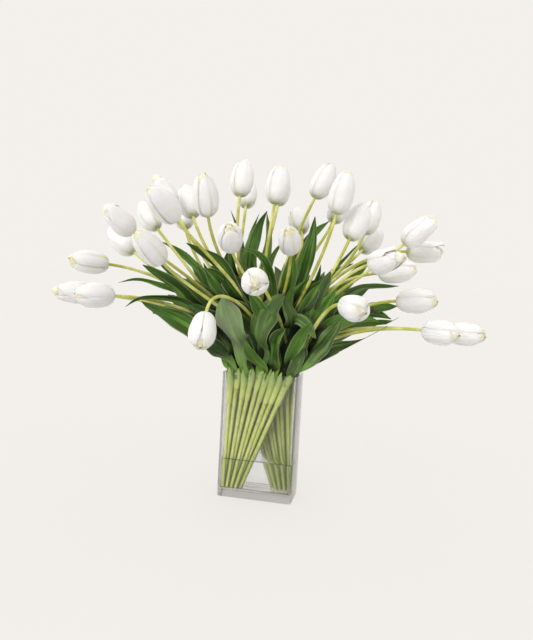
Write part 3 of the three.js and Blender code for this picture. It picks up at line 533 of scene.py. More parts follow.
def addTube(part, line, radii, sides, finish, tint=0.0, shade=0.0, shadeBetween=0.0):  # a closed round bar
    line = np.asarray(line, float)
    count = len(line)
    shade, shadeBetween = np.broadcast_to(shade, count), np.broadcast_to(shadeBetween, count)
    along = unit(np.concatenate([line[1:2] - line[:1], line[2:] - line[:-2], line[-1:] - line[-2:-1]]))
    side = unit(np.cross([0.0, -1.0, 0.0], along[0]))
    turn = np.linspace(0, 2 * np.pi, sides, endpoint=False)
    points, shades = [], []
    for k, (p, way, r) in enumerate(zip(line, along, radii)):
        side = unit(side - way * (side @ way))
        outward = np.cos(turn)[:, None] * side + np.sin(turn)[:, None] * np.cross(way, side)
        points.append(p + r * outward)
        shades.append(np.clip(shade[k] + shadeBetween[k] * outward[:, 0] ** 2, 0, 1))  # painted shade between stems, more to left and right
    walls, ends = ringFaces(count, sides)
    faces = walls + ends
    sharp = [pair for end in ends for pair in zip(end, end[1:] + end[:1])]
    round01, along01 = np.meshgrid(np.linspace(0, 1, sides, endpoint=False), np.linspace(0, 1, count))
    part.add(points, faces, np.stack([round01, along01], -1), [finish] * len(faces), sharp, tint, shades)


def through(table, at):  # a smooth curve through rows of (position, value...)
    table = np.asarray(table, float)
    x, y = table[:, 0], table[:, 1:]
    slope = np.gradient(y, x, axis=0)
    i = np.clip(np.searchsorted(x, at, side="right") - 1, 0, len(x) - 2)
    h = (x[i + 1] - x[i])[:, None]
    t = ((at - x[i])[:, None]) / h
    return ((2 * t**3 - 3 * t**2 + 1) * y[i] + (t**3 - 2 * t**2 + t) * h * slope[i]
            + (-2 * t**3 + 3 * t**2) * y[i + 1] + (t**3 - t**2) * h * slope[i + 1])


# the shape of a petal from its foot to its tip: share of the way, distance out, height
petalBend = [
    (0, 0.17, 0.0), (0.1, 0.46, 0.03), (0.2, 0.74, 0.105), (0.32, 0.94, 0.23), (0.45, 1.0, 0.39),
    (0.6, 0.96, 0.565), (0.74, 0.83, 0.73), (0.86, 0.62, 0.87), (0.95, 0.39, 0.955), (1, 0.22, 0.99),
]
# share of the way, half width of an outer and of an inner petal as an angle about the middle line
petalSpread = [
    (0, 50, 50), (0.1, 57, 56), (0.25, 61, 62), (0.5, 64, 66), (0.7, 63, 67), (0.82, 60, 67),
    (0.9, 58, 68), (0.96, 52, 66), (1, 22, 50),
]
petalLook = {
    "rows": 22, "columns": 15, "thick": 0.7, "rim": 0.3, "waist": 0.3, "flare": 1.6, "towardTip": 1.25,
    "innerOut": 0.915, "innerUp": 0.965, "innerClose": 0.6, "innerFlare": 0.7, "lap": 0.026,
    "flatTip": 0.02, "crease": 0.035, "creaseWidth": 0.12, "ruffle": 0.028, "rufflePace": 9,
    "lean": 0.06, "notch": 0.05, "point": 0.05, "tipOut": 0.08, "curl": 0.07, "shorter": 0.06,
    "loose": (11, 12, 13, 24, 26, 27, 28, 29, 33), "looser": 5.0, "narrower": 0.3, "slimmer": 0.22,
}
heart = {"wide": 0.84, "top": 0.95, "rings": 14, "sides": 18, "tint": 0.7}  # the bud's folded middle
seat = {"shape": ((0, 0.14), (0.4, 0.2), (0.75, 0.28), (1, 0.1)), "ends": (-0.012, 0.05), "rings": 9,
        "sides": 16}  # where the stem meets the petals


def slimmed(tulip, out, s):  # the blooms that have begun to open are slimmer at the tip
    loose = tulip["number"] in petalLook["loose"]
    return out * (1 - loose * petalLook["slimmer"] * softStep(s, 0.3, 0.8))


def petalGrid(tulip, spot, inner, rng):  # the middle surface of one petal, in bloom lengths and radii
    look = petalLook
    loose = tulip["number"] in look["loose"]
    s = 1 - (1 - np.linspace(0, 1, look["rows"])) ** look["towardTip"]
    u = np.linspace(-1, 1, look["columns"])[None]
    rising = lambda low, high: softStep(s, low, high)
    column = lambda low, high: rising(low, high)[:, None]
    out, up = through(petalBend, s).T
    spread = np.radians(through(petalSpread, s)[:, int(inner)]) * rng.uniform(0.94, 1.03)
    out = slimmed(tulip, out, s)
    if inner:
        out = out * (1 - (1 - look["innerOut"]) * rising(0, 0.15))
        out = out * (1 - look["innerClose"] * rising(0.78, 1))
        up = up * (1 - (1 - look["innerUp"]) * rising(0.4, 1))
    else:
        wide = look["looser"] if loose else 1
        out = out + rng.uniform(-0.6 / wide, wide) * look["tipOut"] * rising(0.5 if loose else 0.8, 1)
        up = up * (1 - rng.uniform(0, wide / 1.5) * look["shorter"] * rising(0.5, 1))
        spread = spread * (1 - loose * look["narrower"] * rising(0.55, 1))
    flare = (look["innerFlare"] if inner else 1) * tulip["open"] * look["flare"]
    out = out * (1 + flare * np.maximum(0, up - look["waist"]))
    curve = np.maximum(out, look["flatTip"])
    angle = u * (spread * out / curve)[:, None]
    x = out[:, None] - curve[:, None] * (1 - np.cos(angle))
    y = curve[:, None] * np.sin(angle)
    phase = rng.uniform(0, 6.28, 2)[(u[0] > 0).astype(int)][None]
    lap = look["lap"] * u * column(0.08, 0.3)
    crease = -look["crease"] * np.exp(-((u / look["creaseWidth"]) ** 2)) * column(0.3, 0.85)
    ruffle = look["ruffle"] * np.abs(u) ** 3 * np.sin(s[:, None] * look["rufflePace"] + phase)
    curl = rng.uniform(0, 0.3 if inner else 1) * look["curl"] * np.abs(u) ** 4 * column(0.72, 0.95)
    swell = rng.uniform(-0.4 if inner else -0.2, 1) * look["lean"] * column(0.4, 0.9)
    shorter = look["notch"] * np.abs(u) ** 2 + look["point"] * np.abs(u) ** 5
    z = up[:, None] - shorter * column(0.55, 1) * rng.uniform(0.7, 1.2)
    radial = np.hypot(x, y) * (1 + lap + crease + ruffle * column(0.3, 0.7) + curl)
    radial = radial + (0 if inner else swell * out[:, None])
    spin = np.arctan2(y, x) + math.radians(spot)
    return np.stack([radial * np.cos(spin), radial * np.sin(spin), z], -1)


def makeBloom(tulip, materials):
    look = petalLook
    rng = np.random.default_rng(100 + tulip["number"])
    part = Gather()
    length, radius = bloom["length"] * tulip["size"], bloom["radius"] * tulip["size"]
    base, way = tulip["arc"][-1], tulip["direction"]
    level = unit(np.cross([0.0, -1.0, 0.0], way))
    a = tulip["number"] * bloom["turn"]
    first = level * math.cos(a) + np.cross(way, level) * math.sin(a)
    second = np.cross(way, first)
    v = np.linspace(0, 1, look["rows"])[:, None]
    u = np.abs(np.linspace(-1, 1, look["columns"]))[None]
    thick = look["thick"] - (look["thick"] - look["rim"]) * np.maximum(u**3, v**6)
    for spot in (0, 120, 240, 60, 180, 300):
        grid = petalGrid(tulip, spot + rng.uniform(-4, 4), spot in (60, 180, 300), rng)
        place = base + (grid[..., :1] * first + grid[..., 1:2] * second) * radius \
            + grid[..., 2:] * way * length
        addBlade(part, place, thick, (0, 1), rng.uniform(0, 1))
    at = np.linspace(0, 1, seat["rings"])
    addTube(part, base + way * np.linspace(*seat["ends"], seat["rings"])[:, None] * length,
            through(seat["shape"], at)[:, 0] * radius, seat["sides"], 2)
    s = np.linspace(0, 1, heart["rings"])
    bend = through(petalBend, s)
    wide = (slimmed(tulip, bend[:, 0], s) * heart["wide"] * (1 - softStep(s, 0.9, 1.0)) + 0.02) * radius
    addTube(part, base + way * (0.02 + bend[:, 1:] * heart["top"]) * length, wide, heart["sides"], 0,
            heart["tint"])
    obj = part.make("petals_%02d" % tulip["number"], materials)
    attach(obj, "root")
    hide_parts("bloom_%02d" % tulip["number"])


def stemLine(tulip):
    foot, neck, arc = tulip["foot"], tulip["neck"], tulip["arc"]
    low = np.linspace(0, 1, stem["lowSamples"])[:-1]
    line = np.concatenate([low[:, None] * (neck - foot) + foot, arc])
    line = smoothField(line[None], 3)[0]
    line[0], line[-1] = foot, arc[-1]
    start, end = stem["swell"]
    swollen = softStep(low, start, stem["wrappedShare"] * end)
    lowRadius = stem["footRadius"] + (stem["wrappedRadius"] - stem["footRadius"]) * swollen
    t = np.linspace(0, 1, len(arc))
    highRadius = stem["neckRadius"] + (stem["topRadius"] - stem["neckRadius"]) * t \
        + (stem["wrappedRadius"] - stem["neckRadius"]) * (1 - softStep(t, 0, stem["thinsOver"]))
    return line, np.concatenate([lowRadius, highRadius])


sheath = {
    "low": (146, 176), "high": (199, 217), "rows": 14, "columns": 11, "gap": 0.7, "open": 3.4,
    "around": 165, "aside": (-0.7, 0.7), "tuck": 0.5, "thick": 0.5, "seed": 9,
}


def sheathGrid(tulip):  # a leaf's foot wrapped round its stem, with a point at the top
    rng = np.random.default_rng(sheath["seed"] * 100 + tulip["number"])
    low, high = rng.uniform(*sheath["low"]), rng.uniform(*sheath["high"])
    foot = tulip["foot"]
    way = unit(tulip["neck"] - foot)
    out = np.array([rng.uniform(*sheath["aside"]), -1 if foot[1] < 0 else 1, 0.0])
    out = unit(out - way * (out @ way))
    t = np.linspace(0, 1, sheath["rows"])[:, None]
    u = np.linspace(-1, 1, sheath["columns"])[None]
    level = (low + (high - low) * t - foot[2]) / way[2]
    angle = u * (np.radians(sheath["around"]) * (1 - softStep(t, 0.35, 1.05)) + 0.02)
    radius = stem["wrappedRadius"] + sheath["gap"] + sheath["open"] * softStep(t, 0.3, 1) \
        - sheath["tuck"] * (1 - softStep(t, 0, 0.2))
    return foot + level[..., None] * way + (radius * np.cos(angle))[..., None] * out \
        + (radius * np.sin(angle))[..., None] * np.cross(way, out)


leafLook = {
    "rows": 48, "columns": 13, "thick": 0.9, "rim": 0.4, "pale": (0,), "tipTaper": (0.9, 0.66, 0.25),
    "waveMore": 0.2, "crimp": 0.09, "crimpPace": 2.3, "sway": 3.6, "swayLength": 11, "ripple": 0.13,
    "ripplePace": 1.7, "ripplePhase": (1.3, 2.5), "groove": 0.5, "grooveWidth": 0.1, "room": 1.2,
    "spareAbove": 2, "spareSlope": 1.6, "tintStep": 0.619,
}


def leafGrid(f):  # the middle surface of one leaf
    look, index, reach = leafLook, f["index"], f["reach"]
    t, at = np.linspace(0, 1, look["rows"]), np.linspace(0, 1, leaf["samples"])
    fine = lambda values: through(np.concatenate([at[:, None], values], 1), t)
    line, normal, across = fine(f["line"]), unit(fine(f["normal"])), unit(fine(f["across"]))
    outline = np.interp(t, outlineAt, outlines["blunt" if index in leaf["blunt"] else "full"])
    outline = smoothField(outline[None, :, None], 4)[0, :, 0]
    outline[-3:] *= look["tipTaper"]
    half = f["width"] / 2 * outline
    outer = np.interp(t, at, f["outer"].astype(float))
    left, right = leafEdges(t, half, f["cup"], outer, reach, f["width"], index,
                            leaf["waveHeight"] + look["waveMore"])
    rising = np.sin(np.pi * t)
    sway = look["sway"] * rising * np.sin(t * reach / look["swayLength"] + index)
    line = line + normal * (sway * softStep(t, 0.15, 0.4))[:, None]
    s = np.linspace(-1, 1, look["columns"])[None]
    swing = t[:, None] * reach / leaf["waveLength"]
    crimp = look["crimp"] * f["width"] * np.abs(s) ** 3 * rising[:, None] \
        * np.sin(swing * look["crimpPace"] + index + 2 * np.sign(s))
    rise = np.where(s < 0, left[:, None], right[:, None]) * np.abs(s) ** 1.5 + crimp
    groove = -look["groove"] * f["cup"] * np.exp(-((s / look["grooveWidth"]) ** 2)) \
        * np.minimum(1, half[:, None] / 8)
    perLeaf, perSide = look["ripplePhase"]
    ripple = look["ripple"] * np.abs(s) \
        * np.sin(swing * look["ripplePace"] + index * perLeaf + perSide * np.sign(s))
    return keepInBore(line[:, None] + across[:, None] * (half[:, None] * s * (1 + ripple))[..., None]
                      + normal[:, None] * (rise + groove)[..., None])


def keepInBore(points):  # a leaf leaves the vase through its mouth
    spare = np.maximum(0, points[..., 2] - vase["height"] - leafLook["spareAbove"]) * leafLook["spareSlope"]
    inside = points.copy()
    for axis, side in ((0, vase["width"]), (1, vase["depth"])):
        limit = side / 2 - vase["wall"] - leafLook["room"] + spare
        inside[..., axis] = np.clip(points[..., axis], -limit, limit)
    return np.where(points[..., 2:] > vase["waterLevel"], inside, points)


def makeBunch(group, materials):
    part = Gather()
    for u in tulips:
        if u["group"] != group:
            continue
        line, radii = stemLine(u)
        tint = (u["number"] * stem["tintStep"]) % 1
        # painted shade: in the vase, inner-row stems and the sides between stems are darker; above it, stems
        # among the leaves
        inVase = 1 - softStep(line[:, 2], *lightLoss["mouth"])
        innerShade = lightLoss["innerStemShade"] if abs(u["neck"][1]) < lightLoss["innerRow"] else 0
        above = np.concatenate([np.zeros(len(line) - stem["samples"]), u["depth"]])
        addTube(part, line, radii, stem["sides"], 0, tint, innerShade * inVase + above * (1 - inVase),
                lightLoss["shadeBetween"] * inVase)
        # the sheath is painted darker towards its edges and on inner stems
        s = np.linspace(-1, 1, sheath["columns"])
        addBlade(part, sheathGrid(u), sheath["thick"], (3, 3), tint,
                 np.clip(innerShade + lightLoss["shadeBetween"] * s**2, 0, 1))
    rows, columns = np.linspace(0, 1, leafLook["rows"]), np.linspace(-1, 1, leafLook["columns"])
    thick = leafLook["thick"] - (leafLook["thick"] - leafLook["rim"]) * columns**2
    for f in leaves:
        if f["tulip"]["group"] != group:
            continue
        samples = np.linspace(0, 1, leaf["samples"])
        # the leaf's painted shade, spread along and across the blade
        shade = np.array([np.interp(rows, samples, d) for d in f["depth"].T])
        shade = np.array([np.interp(columns, (-1, 0, 1), d) for d in shade.T])
        back = 4 if f["index"] in leafLook["pale"] else 2
        sides = (1, back) if f["cup"] > 0 else (back, 1)
        addBlade(part, leafGrid(f), thick, sides, (f["index"] * leafLook["tintStep"]) % 1, shade)
    obj = part.make("leafyStems_%02d" % group, materials)
    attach(obj, "root")
    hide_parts("stems_%02d" % group)


def roundedRing(x, y, corner, z, arcPoints=8):
    corners = ((1, -1, -90), (1, 1, 0), (-1, 1, 90), (-1, -1, 180))
    turns = [(sx, sy, math.radians(start + 90 * k / arcPoints))
             for sx, sy, start in corners for k in range(arcPoints + 1)]
    return [(sx * (x - corner) + corner * math.cos(a), sy * (y - corner) + corner * math.sin(a), z)
            for sx, sy, a in turns]


def loftRings(name, rings, material, node=None, hoop=False):
    faces, ends = ringFaces(len(rings), len(rings[0]))
    if hoop:  # the last ring joins the first again
        (a, z), turn = ends, lambda end: end[1:] + end[:1]
        a = a[::-1]
        faces += list(zip(z, turn(z), turn(a), a))
    else:
        faces += ends
    mesh = bpy.data.meshes.new(name)
    mesh.from_pydata((np.concatenate(rings) * toMetres).tolist(), [], faces)
    mesh.polygons.foreach_set("use_smooth", [True] * len(mesh.polygons))
    mesh.set_sharp_from_angle(angle=math.radians(40))
    mesh.materials.append(material)
    obj = addObject(name, mesh)
    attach(obj, "root")
    if node:
        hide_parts(node)


def makeVase(material):
    x, y, corner = vase["width"] / 2, vase["depth"] / 2, vase["corner"]
    ix, iy, bore = x - vase["wall"], y - vase["wall"], vase["boreCorner"]
    foot, lip, cove = vase["footEase"], vase["lipEase"], vase["cove"]
    top = vase["height"] - lip
    turns = [(math.sin(math.radians(a)), math.cos(math.radians(a))) for a in range(0, 91, 15)]

    def ring(x, y, corner, inset, z, share=1):
        return roundedRing(x - inset, y - inset, corner - share * inset, z)

    rings = [ring(x, y, corner, foot * (1 - s), foot * (1 - k)) for s, k in turns]
    rings += [ring(x, y, corner, lip * (1 - k), top + lip * s) for s, k in turns]
    rings += [ring(ix, iy, bore, -lip * (1 - s), top + lip * k) for s, k in turns]
    rings += [ring(ix, iy, bore, cove * (1 - k), vase["floor"] + cove * (1 - s), 0.6) for s, k in turns]
    loftRings("glassVase", rings, material, "vase")


water = {
    "lap": 0.15, "below": 0.1, "rise": 0.8, "foot": ((1.5, 1, 0), (0.3, 1.7, 0.8), (0, 2, 2.6)),
    "creep": ((0, 2, 0), (0.6, 1.6, 0.35), (1.2, 1.6, 0.7), (2.2, 1.6, 0.8)),  # up the glass
    "hoopRadius": 0.4, "hoopInset": 0.35, "hoopCorner": 1.8,
    "hoops": (("waterLine", vase["waterLevel"] + 1.25), ("footLine", vase["floor"] + 2.0)),
}


def makeWater(material, edge):
    x = vase["width"] / 2 - vase["wall"] + water["lap"]
    y = vase["depth"] / 2 - vase["wall"] + water["lap"]
    low, top = vase["floor"] - water["below"], vase["waterLevel"] + water["rise"]
    rings = [roundedRing(x - back, y - back, corner, low + up) for back, corner, up in water["foot"]]
    rings += [roundedRing(x - back, y - back, corner, top - down) for back, corner, down in water["creep"]]
    loftRings("stillWater", rings, material, "water")
    for name, level in water["hoops"]:  # thin opaque hoops where water meets glass, with painted shade and painted reflection
        r, inset = water["hoopRadius"], water["hoopInset"]
        rim = [roundedRing(x - inset + r * math.cos(a), y - inset + r * math.cos(a), water["hoopCorner"],
                           level + r * math.sin(a)) for a in np.arange(8) * math.pi / 4]
        loftRings(name, rim, edge, hoop=True)


def tone(r, g, b):  # a colour as seen on screen, made linear for the shaders
    linear = lambda c: c / 12.92 if c <= 0.04045 else ((c + 0.055) / 1.055) ** 2.4
    return (linear(r / 255), linear(g / 255), linear(b / 255), 1)


class Net:  # short ways to add and join the nodes of one tree
    def __init__(self, tree):
        self.tree = tree

    def add(self, kind, inputs=(), **settings):  # a node with its settings and its inputs by name or place
        node = self.tree.nodes.new(kind)
        for key, value in settings.items():
            setattr(node, key, value)
        for key, value in dict(inputs).items():
            self.put(node.inputs[key], value)
        return node

    def put(self, socket, value):
        if isinstance(value, bpy.types.NodeSocket):
            self.tree.links.new(value, socket)
        elif value is not None:
            socket.default_value = value

    def math(self, operation, *values):
        return self.add("ShaderNodeMath", enumerate(values), operation=operation).outputs[0]

    def times(self, a, b):
        return self.math("MULTIPLY", a, b)

    def span(self, value, low, high, toLow=0.0, toHigh=1.0):
        inputs = enumerate((value, low, high, toLow, toHigh))
        return self.add("ShaderNodeMapRange", inputs, interpolation_type="SMOOTHSTEP").outputs[0]

    def blend(self, share, a, b):
        return self.add("ShaderNodeMix", {0: share, 6: a, 7: b}, data_type="RGBA").outputs[2]

    def coats(self, colour, *layers):  # each (share, strength, colour) is laid over the last
        for share, strength, over in layers:
            colour = self.blend(self.times(share, strength), colour, over)
        return colour

    def noise(self, vector, scale, detail=2.0, rough=0.5):
        inputs = {"Vector": vector, "Scale": scale, "Detail": detail, "Roughness": rough}
        return self.add("ShaderNodeTexNoise", inputs).outputs[0]

    def bump(self, height, strength, distance):
        inputs = {"Height": height, "Strength": strength, "Distance": distance}
        return self.add("ShaderNodeBump", inputs).outputs[0]

    def place(self):
        return self.add("ShaderNodeTexCoord").outputs["Object"]

    def blade(self):
        return self.add("ShaderNodeUVMap", uv_map="bladeMap").outputs[0]

    def parts(self, vector):
        return self.add("ShaderNodeSeparateXYZ", {0: vector}).outputs

    def joined(self, *parts):
        return self.add("ShaderNodeCombineXYZ", enumerate(parts)).outputs[0]

    def mark(self, name):  # what the mesh stores at each point
        return self.add("ShaderNodeAttribute", attribute_name=name).outputs["Fac"]

    def group(self, tree, **values):
        return self.add("ShaderNodeGroup", values, node_tree=tree).outputs


def newGroup(name, inputs, outputs):
    tree = bpy.data.node_groups.new(name, "ShaderNodeTree")
    for key, kind, value in inputs:
        socket = tree.interface.new_socket(key, in_out="INPUT", socket_type=kind)
        if value is not None:
            socket.default_value = value
    for key in outputs:
        tree.interface.new_socket(key, in_out="OUTPUT", socket_type="NodeSocketFloat")
    net = Net(tree)
    return tree, net, net.add("NodeGroupInput").outputs, net.add("NodeGroupOutput").inputs


def dress(net, sockets, colour, rough, height, strength, distance):
    net.put(sockets["Base Color"], colour)
    net.put(sockets["Roughness"], rough)
    net.put(sockets["Normal"], net.bump(height, strength, distance))


def newMaterial(name, plain):
    material = bpy.data.materials.new(name)
    material.use_nodes = True
    shader = material.node_tree.nodes["Principled BSDF"]
    for key, value in plain.items():
        shader.inputs[key].default_value = value
    return material, Net(material.node_tree), shader.inputs


floatIn, vectorIn = "NodeSocketFloat", "NodeSocketVector"

# fine lines that run from the foot of a blade to its tip
bladeVeins, n, i, o = newGroup("bladeVeins", (
    ("Blade", vectorIn, None), ("Count", floatIn, 24.0), ("Waver", floatIn, 1.0),
    ("Narrow", floatIn, 2.0)), ("Lines", "Height"))
u, v, _ = n.parts(i["Blade"])
drift = n.times(n.noise(n.joined(n.times(u, 7.0), n.times(v, 2.0)), 1.0, 2.0), i["Waver"])
turn = n.times(n.math("ADD", n.times(u, i["Count"]), drift), 2 * math.pi)
wave = n.math("MULTIPLY_ADD", n.math("SINE", turn), 0.5, 0.5)
n.put(o["Lines"], n.math("POWER", wave, i["Narrow"]))
n.put(o["Height"], wave)

# soft patches, for colour that is never quite even
softPatches, n, i, o = newGroup("softPatches", (
    ("Place", vectorIn, None), ("Scale", floatIn, 20.0), ("Low", floatIn, 0.4),
    ("High", floatIn, 0.65)), ("Mask",))
n.put(o["Mask"], n.span(n.noise(i["Place"], i["Scale"], 3.0, 0.55), i["Low"], i["High"]))

# how near a point is to the middle line and to the edges of its blade
bladeBands, n, i, o = newGroup("bladeBands", (
    ("Blade", vectorIn, None), ("Rib", floatIn, 0.08), ("Edge", floatIn, 0.85)), ("Rib", "Edge"))
off = n.math("ABSOLUTE", n.math("MULTIPLY_ADD", n.parts(i["Blade"])[0], 2.0, -1.0))
n.put(o["Rib"], n.span(off, 0.0, i["Rib"], 1.0, 0.0))
n.put(o["Edge"], n.span(off, i["Edge"], 1.0))
print("shared node groups made")

petalFinish = {
    "white": tone(252, 251, 250), "shade": tone(244, 240, 226), "rib": tone(208, 204, 138),
    "foot": tone(176, 190, 96), "tip": tone(224, 214, 152), "edge": tone(220, 217, 178),
    "shader": {"Roughness": 0.5, "Subsurface Weight": 0.5, "Subsurface Scale": 0.006,
               "Subsurface Radius": (1.0, 0.94, 0.76), "Specular IOR Level": 0.35},
}


def petalMaterial(name, inside):
    look = petalFinish
    material, net, sockets = newMaterial(name, look["shader"])
    blade, tint = net.blade(), net.mark("tint")
    v = net.parts(blade)[1]
    veins = net.group(bladeVeins, Blade=blade, Count=9.0, Waver=1.4, Narrow=2.5)
    bands = net.group(bladeBands, Blade=blade, Rib=0.2, Edge=0.9)
    patches = net.group(softPatches, Place=net.place(), Scale=70.0, Low=0.42, High=0.62)["Mask"]
    ribShare = net.times(net.span(v, 0.1, 0.8, 0.85, 0.15), net.span(tint, 0.6, 0.95, 0.08, 1.0))
    tipShare = net.times(net.span(v, 0.76, 0.93), net.span(tint, 0.35, 0.85, 0.1, 0.9))
    colour = net.coats(
        look["white"], (patches, 0.5, look["shade"]), (veins["Lines"], 0.16, look["shade"]),
        (bands["Rib"], ribShare, look["rib"]),
        (bands["Edge"], net.span(tint, 0.1, 0.9, 0.05, 0.5), look["edge"]),
        (net.span(v, 0.0, 0.2, 1.0, 0.0), net.span(tint, 0.0, 1.0, 0.4, 0.85), look["foot"]),
        (tipShare, net.span(patches, 0.0, 0.6, 0.5, 1.0), look["tip"]))
    if inside:
        colour = net.blend(net.span(v, 0.3, 0.0), colour, look["foot"])
    height = net.math("ADD", veins["Height"], net.times(patches, 0.8))
    dress(net, sockets, colour, net.span(patches, 0.0, 1.0, 0.42, 0.58), height, 0.35, 0.0006)
    return material


stemFinish = {
    "above": tone(170, 170, 68), "below": tone(220, 236, 122), "pale": tone(246, 249, 180),
    # deep is the colour of painted shade on stems and sheaths
    "dark": tone(84, 106, 30), "deep": tone(58, 84, 10), "streaks": (6, 6, 0.6),
    "shader": {"Roughness": 0.42, "Subsurface Weight": 0.08, "Subsurface Scale": 0.003,
               "Specular IOR Level": 0.45},
}


def stemMaterial():
    look = stemFinish
    material, net, sockets = newMaterial("stemSkin", look["shader"])
    spot = net.place()
    streaks = net.add("ShaderNodeMapping", {"Vector": spot, "Scale": look["streaks"]})
    lines = net.noise(streaks.outputs[0], 130.0, 3.0, 0.6)
    patches = net.group(softPatches, Place=spot, Scale=28.0, Low=0.38, High=0.66)["Mask"]
    height = net.math("ADD", net.parts(spot)[2], net.times(net.mark("tint"), 0.05))
    # the last coat is painted shade: between stems and on inner rows in the vase, among the leaves above it
    colour = net.coats(
        look["below"], (net.span(height, 0.16, 0.32), 1.0, look["above"]),
        (patches, 0.4, look["pale"]), (net.span(lines, 0.5, 0.7), 0.45, look["dark"]),
        (net.mark("shade"), 0.9, look["deep"]))
    dress(net, sockets, colour, net.span(lines, 0.3, 0.7, 0.36, 0.52), lines, 0.3, 0.0005)
    return material


leafFinish = {
    # in each side, deep serves random patches and painted fold shade; light serves veins, rib, a tone per
    # leaf and painted fold highlights
    "face": {"main": tone(42, 78, 18), "deep": tone(7, 19, 3), "light": tone(106, 150, 58), "rough": 0.34},
    "back": {"main": tone(60, 88, 38), "deep": tone(21, 36, 11), "light": tone(116, 148, 82), "rough": 0.48},
    "pale": {"main": tone(104, 132, 82), "deep": tone(122, 120, 108), "light": tone(130, 162, 102),
             "rough": 0.6},
    # gap is the colour of painted shade deep among the leaves
    "sheath": tone(144, 190, 88), "edge": tone(150, 152, 128), "gap": tone(4, 10, 2),
    "shader": {"Subsurface Weight": 0.05, "Subsurface Scale": 0.002, "Specular IOR Level": 0.24},
    "sheathShader": {"Subsurface Weight": 0.08, "Subsurface Scale": 0.002, "Specular IOR Level": 0.45},
}


def sheathMaterial():
    material, net, sockets = newMaterial("sheathSkin", leafFinish["sheathShader"])
    blade = net.blade()
    veins = net.group(bladeVeins, Blade=blade, Count=13.0, Waver=0.5, Narrow=1.6)
    patches = net.group(softPatches, Place=net.place(), Scale=40.0, Low=0.36, High=0.66)["Mask"]
    # the last coat is painted shade, darker towards the sheath's edges and on inner stems
    colour = net.coats(
        stemFinish["below"], (net.span(net.parts(blade)[1], 0.1, 1.0), 0.8, leafFinish["sheath"]),
        (patches, 0.25, leafFinish["face"]["light"]), (veins["Lines"], 0.35, stemFinish["pale"]),
        (net.mark("shade"), 0.75, stemFinish["deep"]))
    rough = net.span(veins["Lines"], 0.0, 1.0, 0.4, 0.52)
    dress(net, sockets, colour, rough, veins["Height"], 0.4, 0.0006)
    return material


def leafMaterial(name, side):
    look = leafFinish
    main, deep, light, rough = side.values()
    material, net, sockets = newMaterial(name, look["shader"])
    blade, tint = net.blade(), net.mark("tint")
    u, v, _ = net.parts(blade)
    veins = net.group(bladeVeins, Blade=blade, Count=17.0, Waver=0.8, Narrow=1.6)
    bands = net.group(bladeBands, Blade=blade, Rib=0.07, Edge=0.88)
    patches = net.group(softPatches, Place=net.place(), Scale=26.0, Low=0.36, High=0.66)["Mask"]
    foldBumpAndShade = net.noise(net.joined(net.times(u, 4.6), net.times(v, 2.6), net.times(tint, 40.0)), 1.0)
    # the fold noise paints shade in the hollows of the bumped folds and highlights on their ridges
    colour = net.coats(
        main, (patches, 0.6, deep), (net.span(foldBumpAndShade, 0.3, 0.52, 1.0, 0.0), 0.9, deep),
        (net.span(foldBumpAndShade, 0.48, 0.68), 0.8, light), (veins["Lines"], 0.3, light),
        (bands["Rib"], 0.18, light), (bands["Edge"], 0.8, look["edge"]),
        (net.span(tint, 0.0, 1.0), 0.35, light), (net.span(v, 0.06, 0.5, 1.0, 0.0), 1.0, look["sheath"]),
        # painted shade among the leaves
        (net.mark("shade"), 0.96, look["gap"]))
    height = net.math("MULTIPLY_ADD", foldBumpAndShade, 9.0, net.math("MULTIPLY_ADD", patches, 1.5, veins["Height"]))
    dress(net, sockets, colour, net.span(veins["Lines"], 0.0, 1.0, rough, rough + 0.14), height, 0.6, 0.0008)
    return material


clearFinish = {
    # the glass's foot colour is painted shade on its thick floor
    "glass": {"colour": (0.975, 0.972, 0.982, 1), "foot": (0.8, 0.8, 0.78, 1), "footEnds": (0.011, 0.0135),
              "ior": 1.48, "patches": 14.0, "dull": 0.03, "depthColour": (0.70, 0.69, 0.69, 1),
              "depth": 24.0},
    "water": {"colour": (0.985, 0.995, 0.975, 1), "foot": None, "ior": 1.333, "patches": 30.0,
              "dull": 0.01, "depthColour": (0.85, 0.9, 0.8, 1), "depth": 2.0},
    "passing": 0.12,  # the share of any ray that goes straight through
}


def clearMaterial(name, look):
    material, net, sockets = newMaterial(name, {
        "Base Color": look["colour"], "Transmission Weight": 1.0, "IOR": look["ior"], "Roughness": 0.0})
    spot, colour = net.place(), None
    if look["foot"]:  # painted shade: the thick floor is coloured darker
        low = net.span(net.parts(spot)[2], *look["footEnds"], 1.0, 0.0)
        colour = net.blend(low, look["colour"], look["foot"])
    patches = net.group(softPatches, Place=spot, Scale=look["patches"], Low=0.45, High=0.8)["Mask"]
    dress(net, sockets, colour, net.times(patches, look["dull"]), patches, 0.04, 0.0004)
    nodes = material.node_tree.nodes
    passing = net.add("ShaderNodeBsdfTransparent", {0: look["colour"]})
    rays = net.add("ShaderNodeLightPath")  # light reaches what stands inside
    share = net.math("MAXIMUM", rays.outputs["Is Shadow Ray"], clearFinish["passing"])
    mixer = net.add("ShaderNodeMixShader", {
        0: share, 1: nodes["Principled BSDF"].outputs[0], 2: passing.outputs[0]})
    body = net.add("ShaderNodeVolumeAbsorption", {"Color": look["depthColour"], "Density": look["depth"]})
    net.put(nodes["Material Output"].inputs[0], mixer.outputs[0])
    net.put(nodes["Material Output"].inputs["Volume"], body.outputs[0])
    return material


def edgeMaterial():  # the thin lines where water meets glass, now dark, now pale: painted shade and painted reflection
    material, net, sockets = newMaterial("waterEdgeShadeAndReflection", {"Roughness": 0.2})
    patches = net.group(softPatches, Place=net.place(), Scale=110.0, Low=0.4, High=0.65)["Mask"]
    net.put(sockets["Base Color"], net.blend(patches, tone(64, 76, 46), tone(138, 142, 124)))
    return material


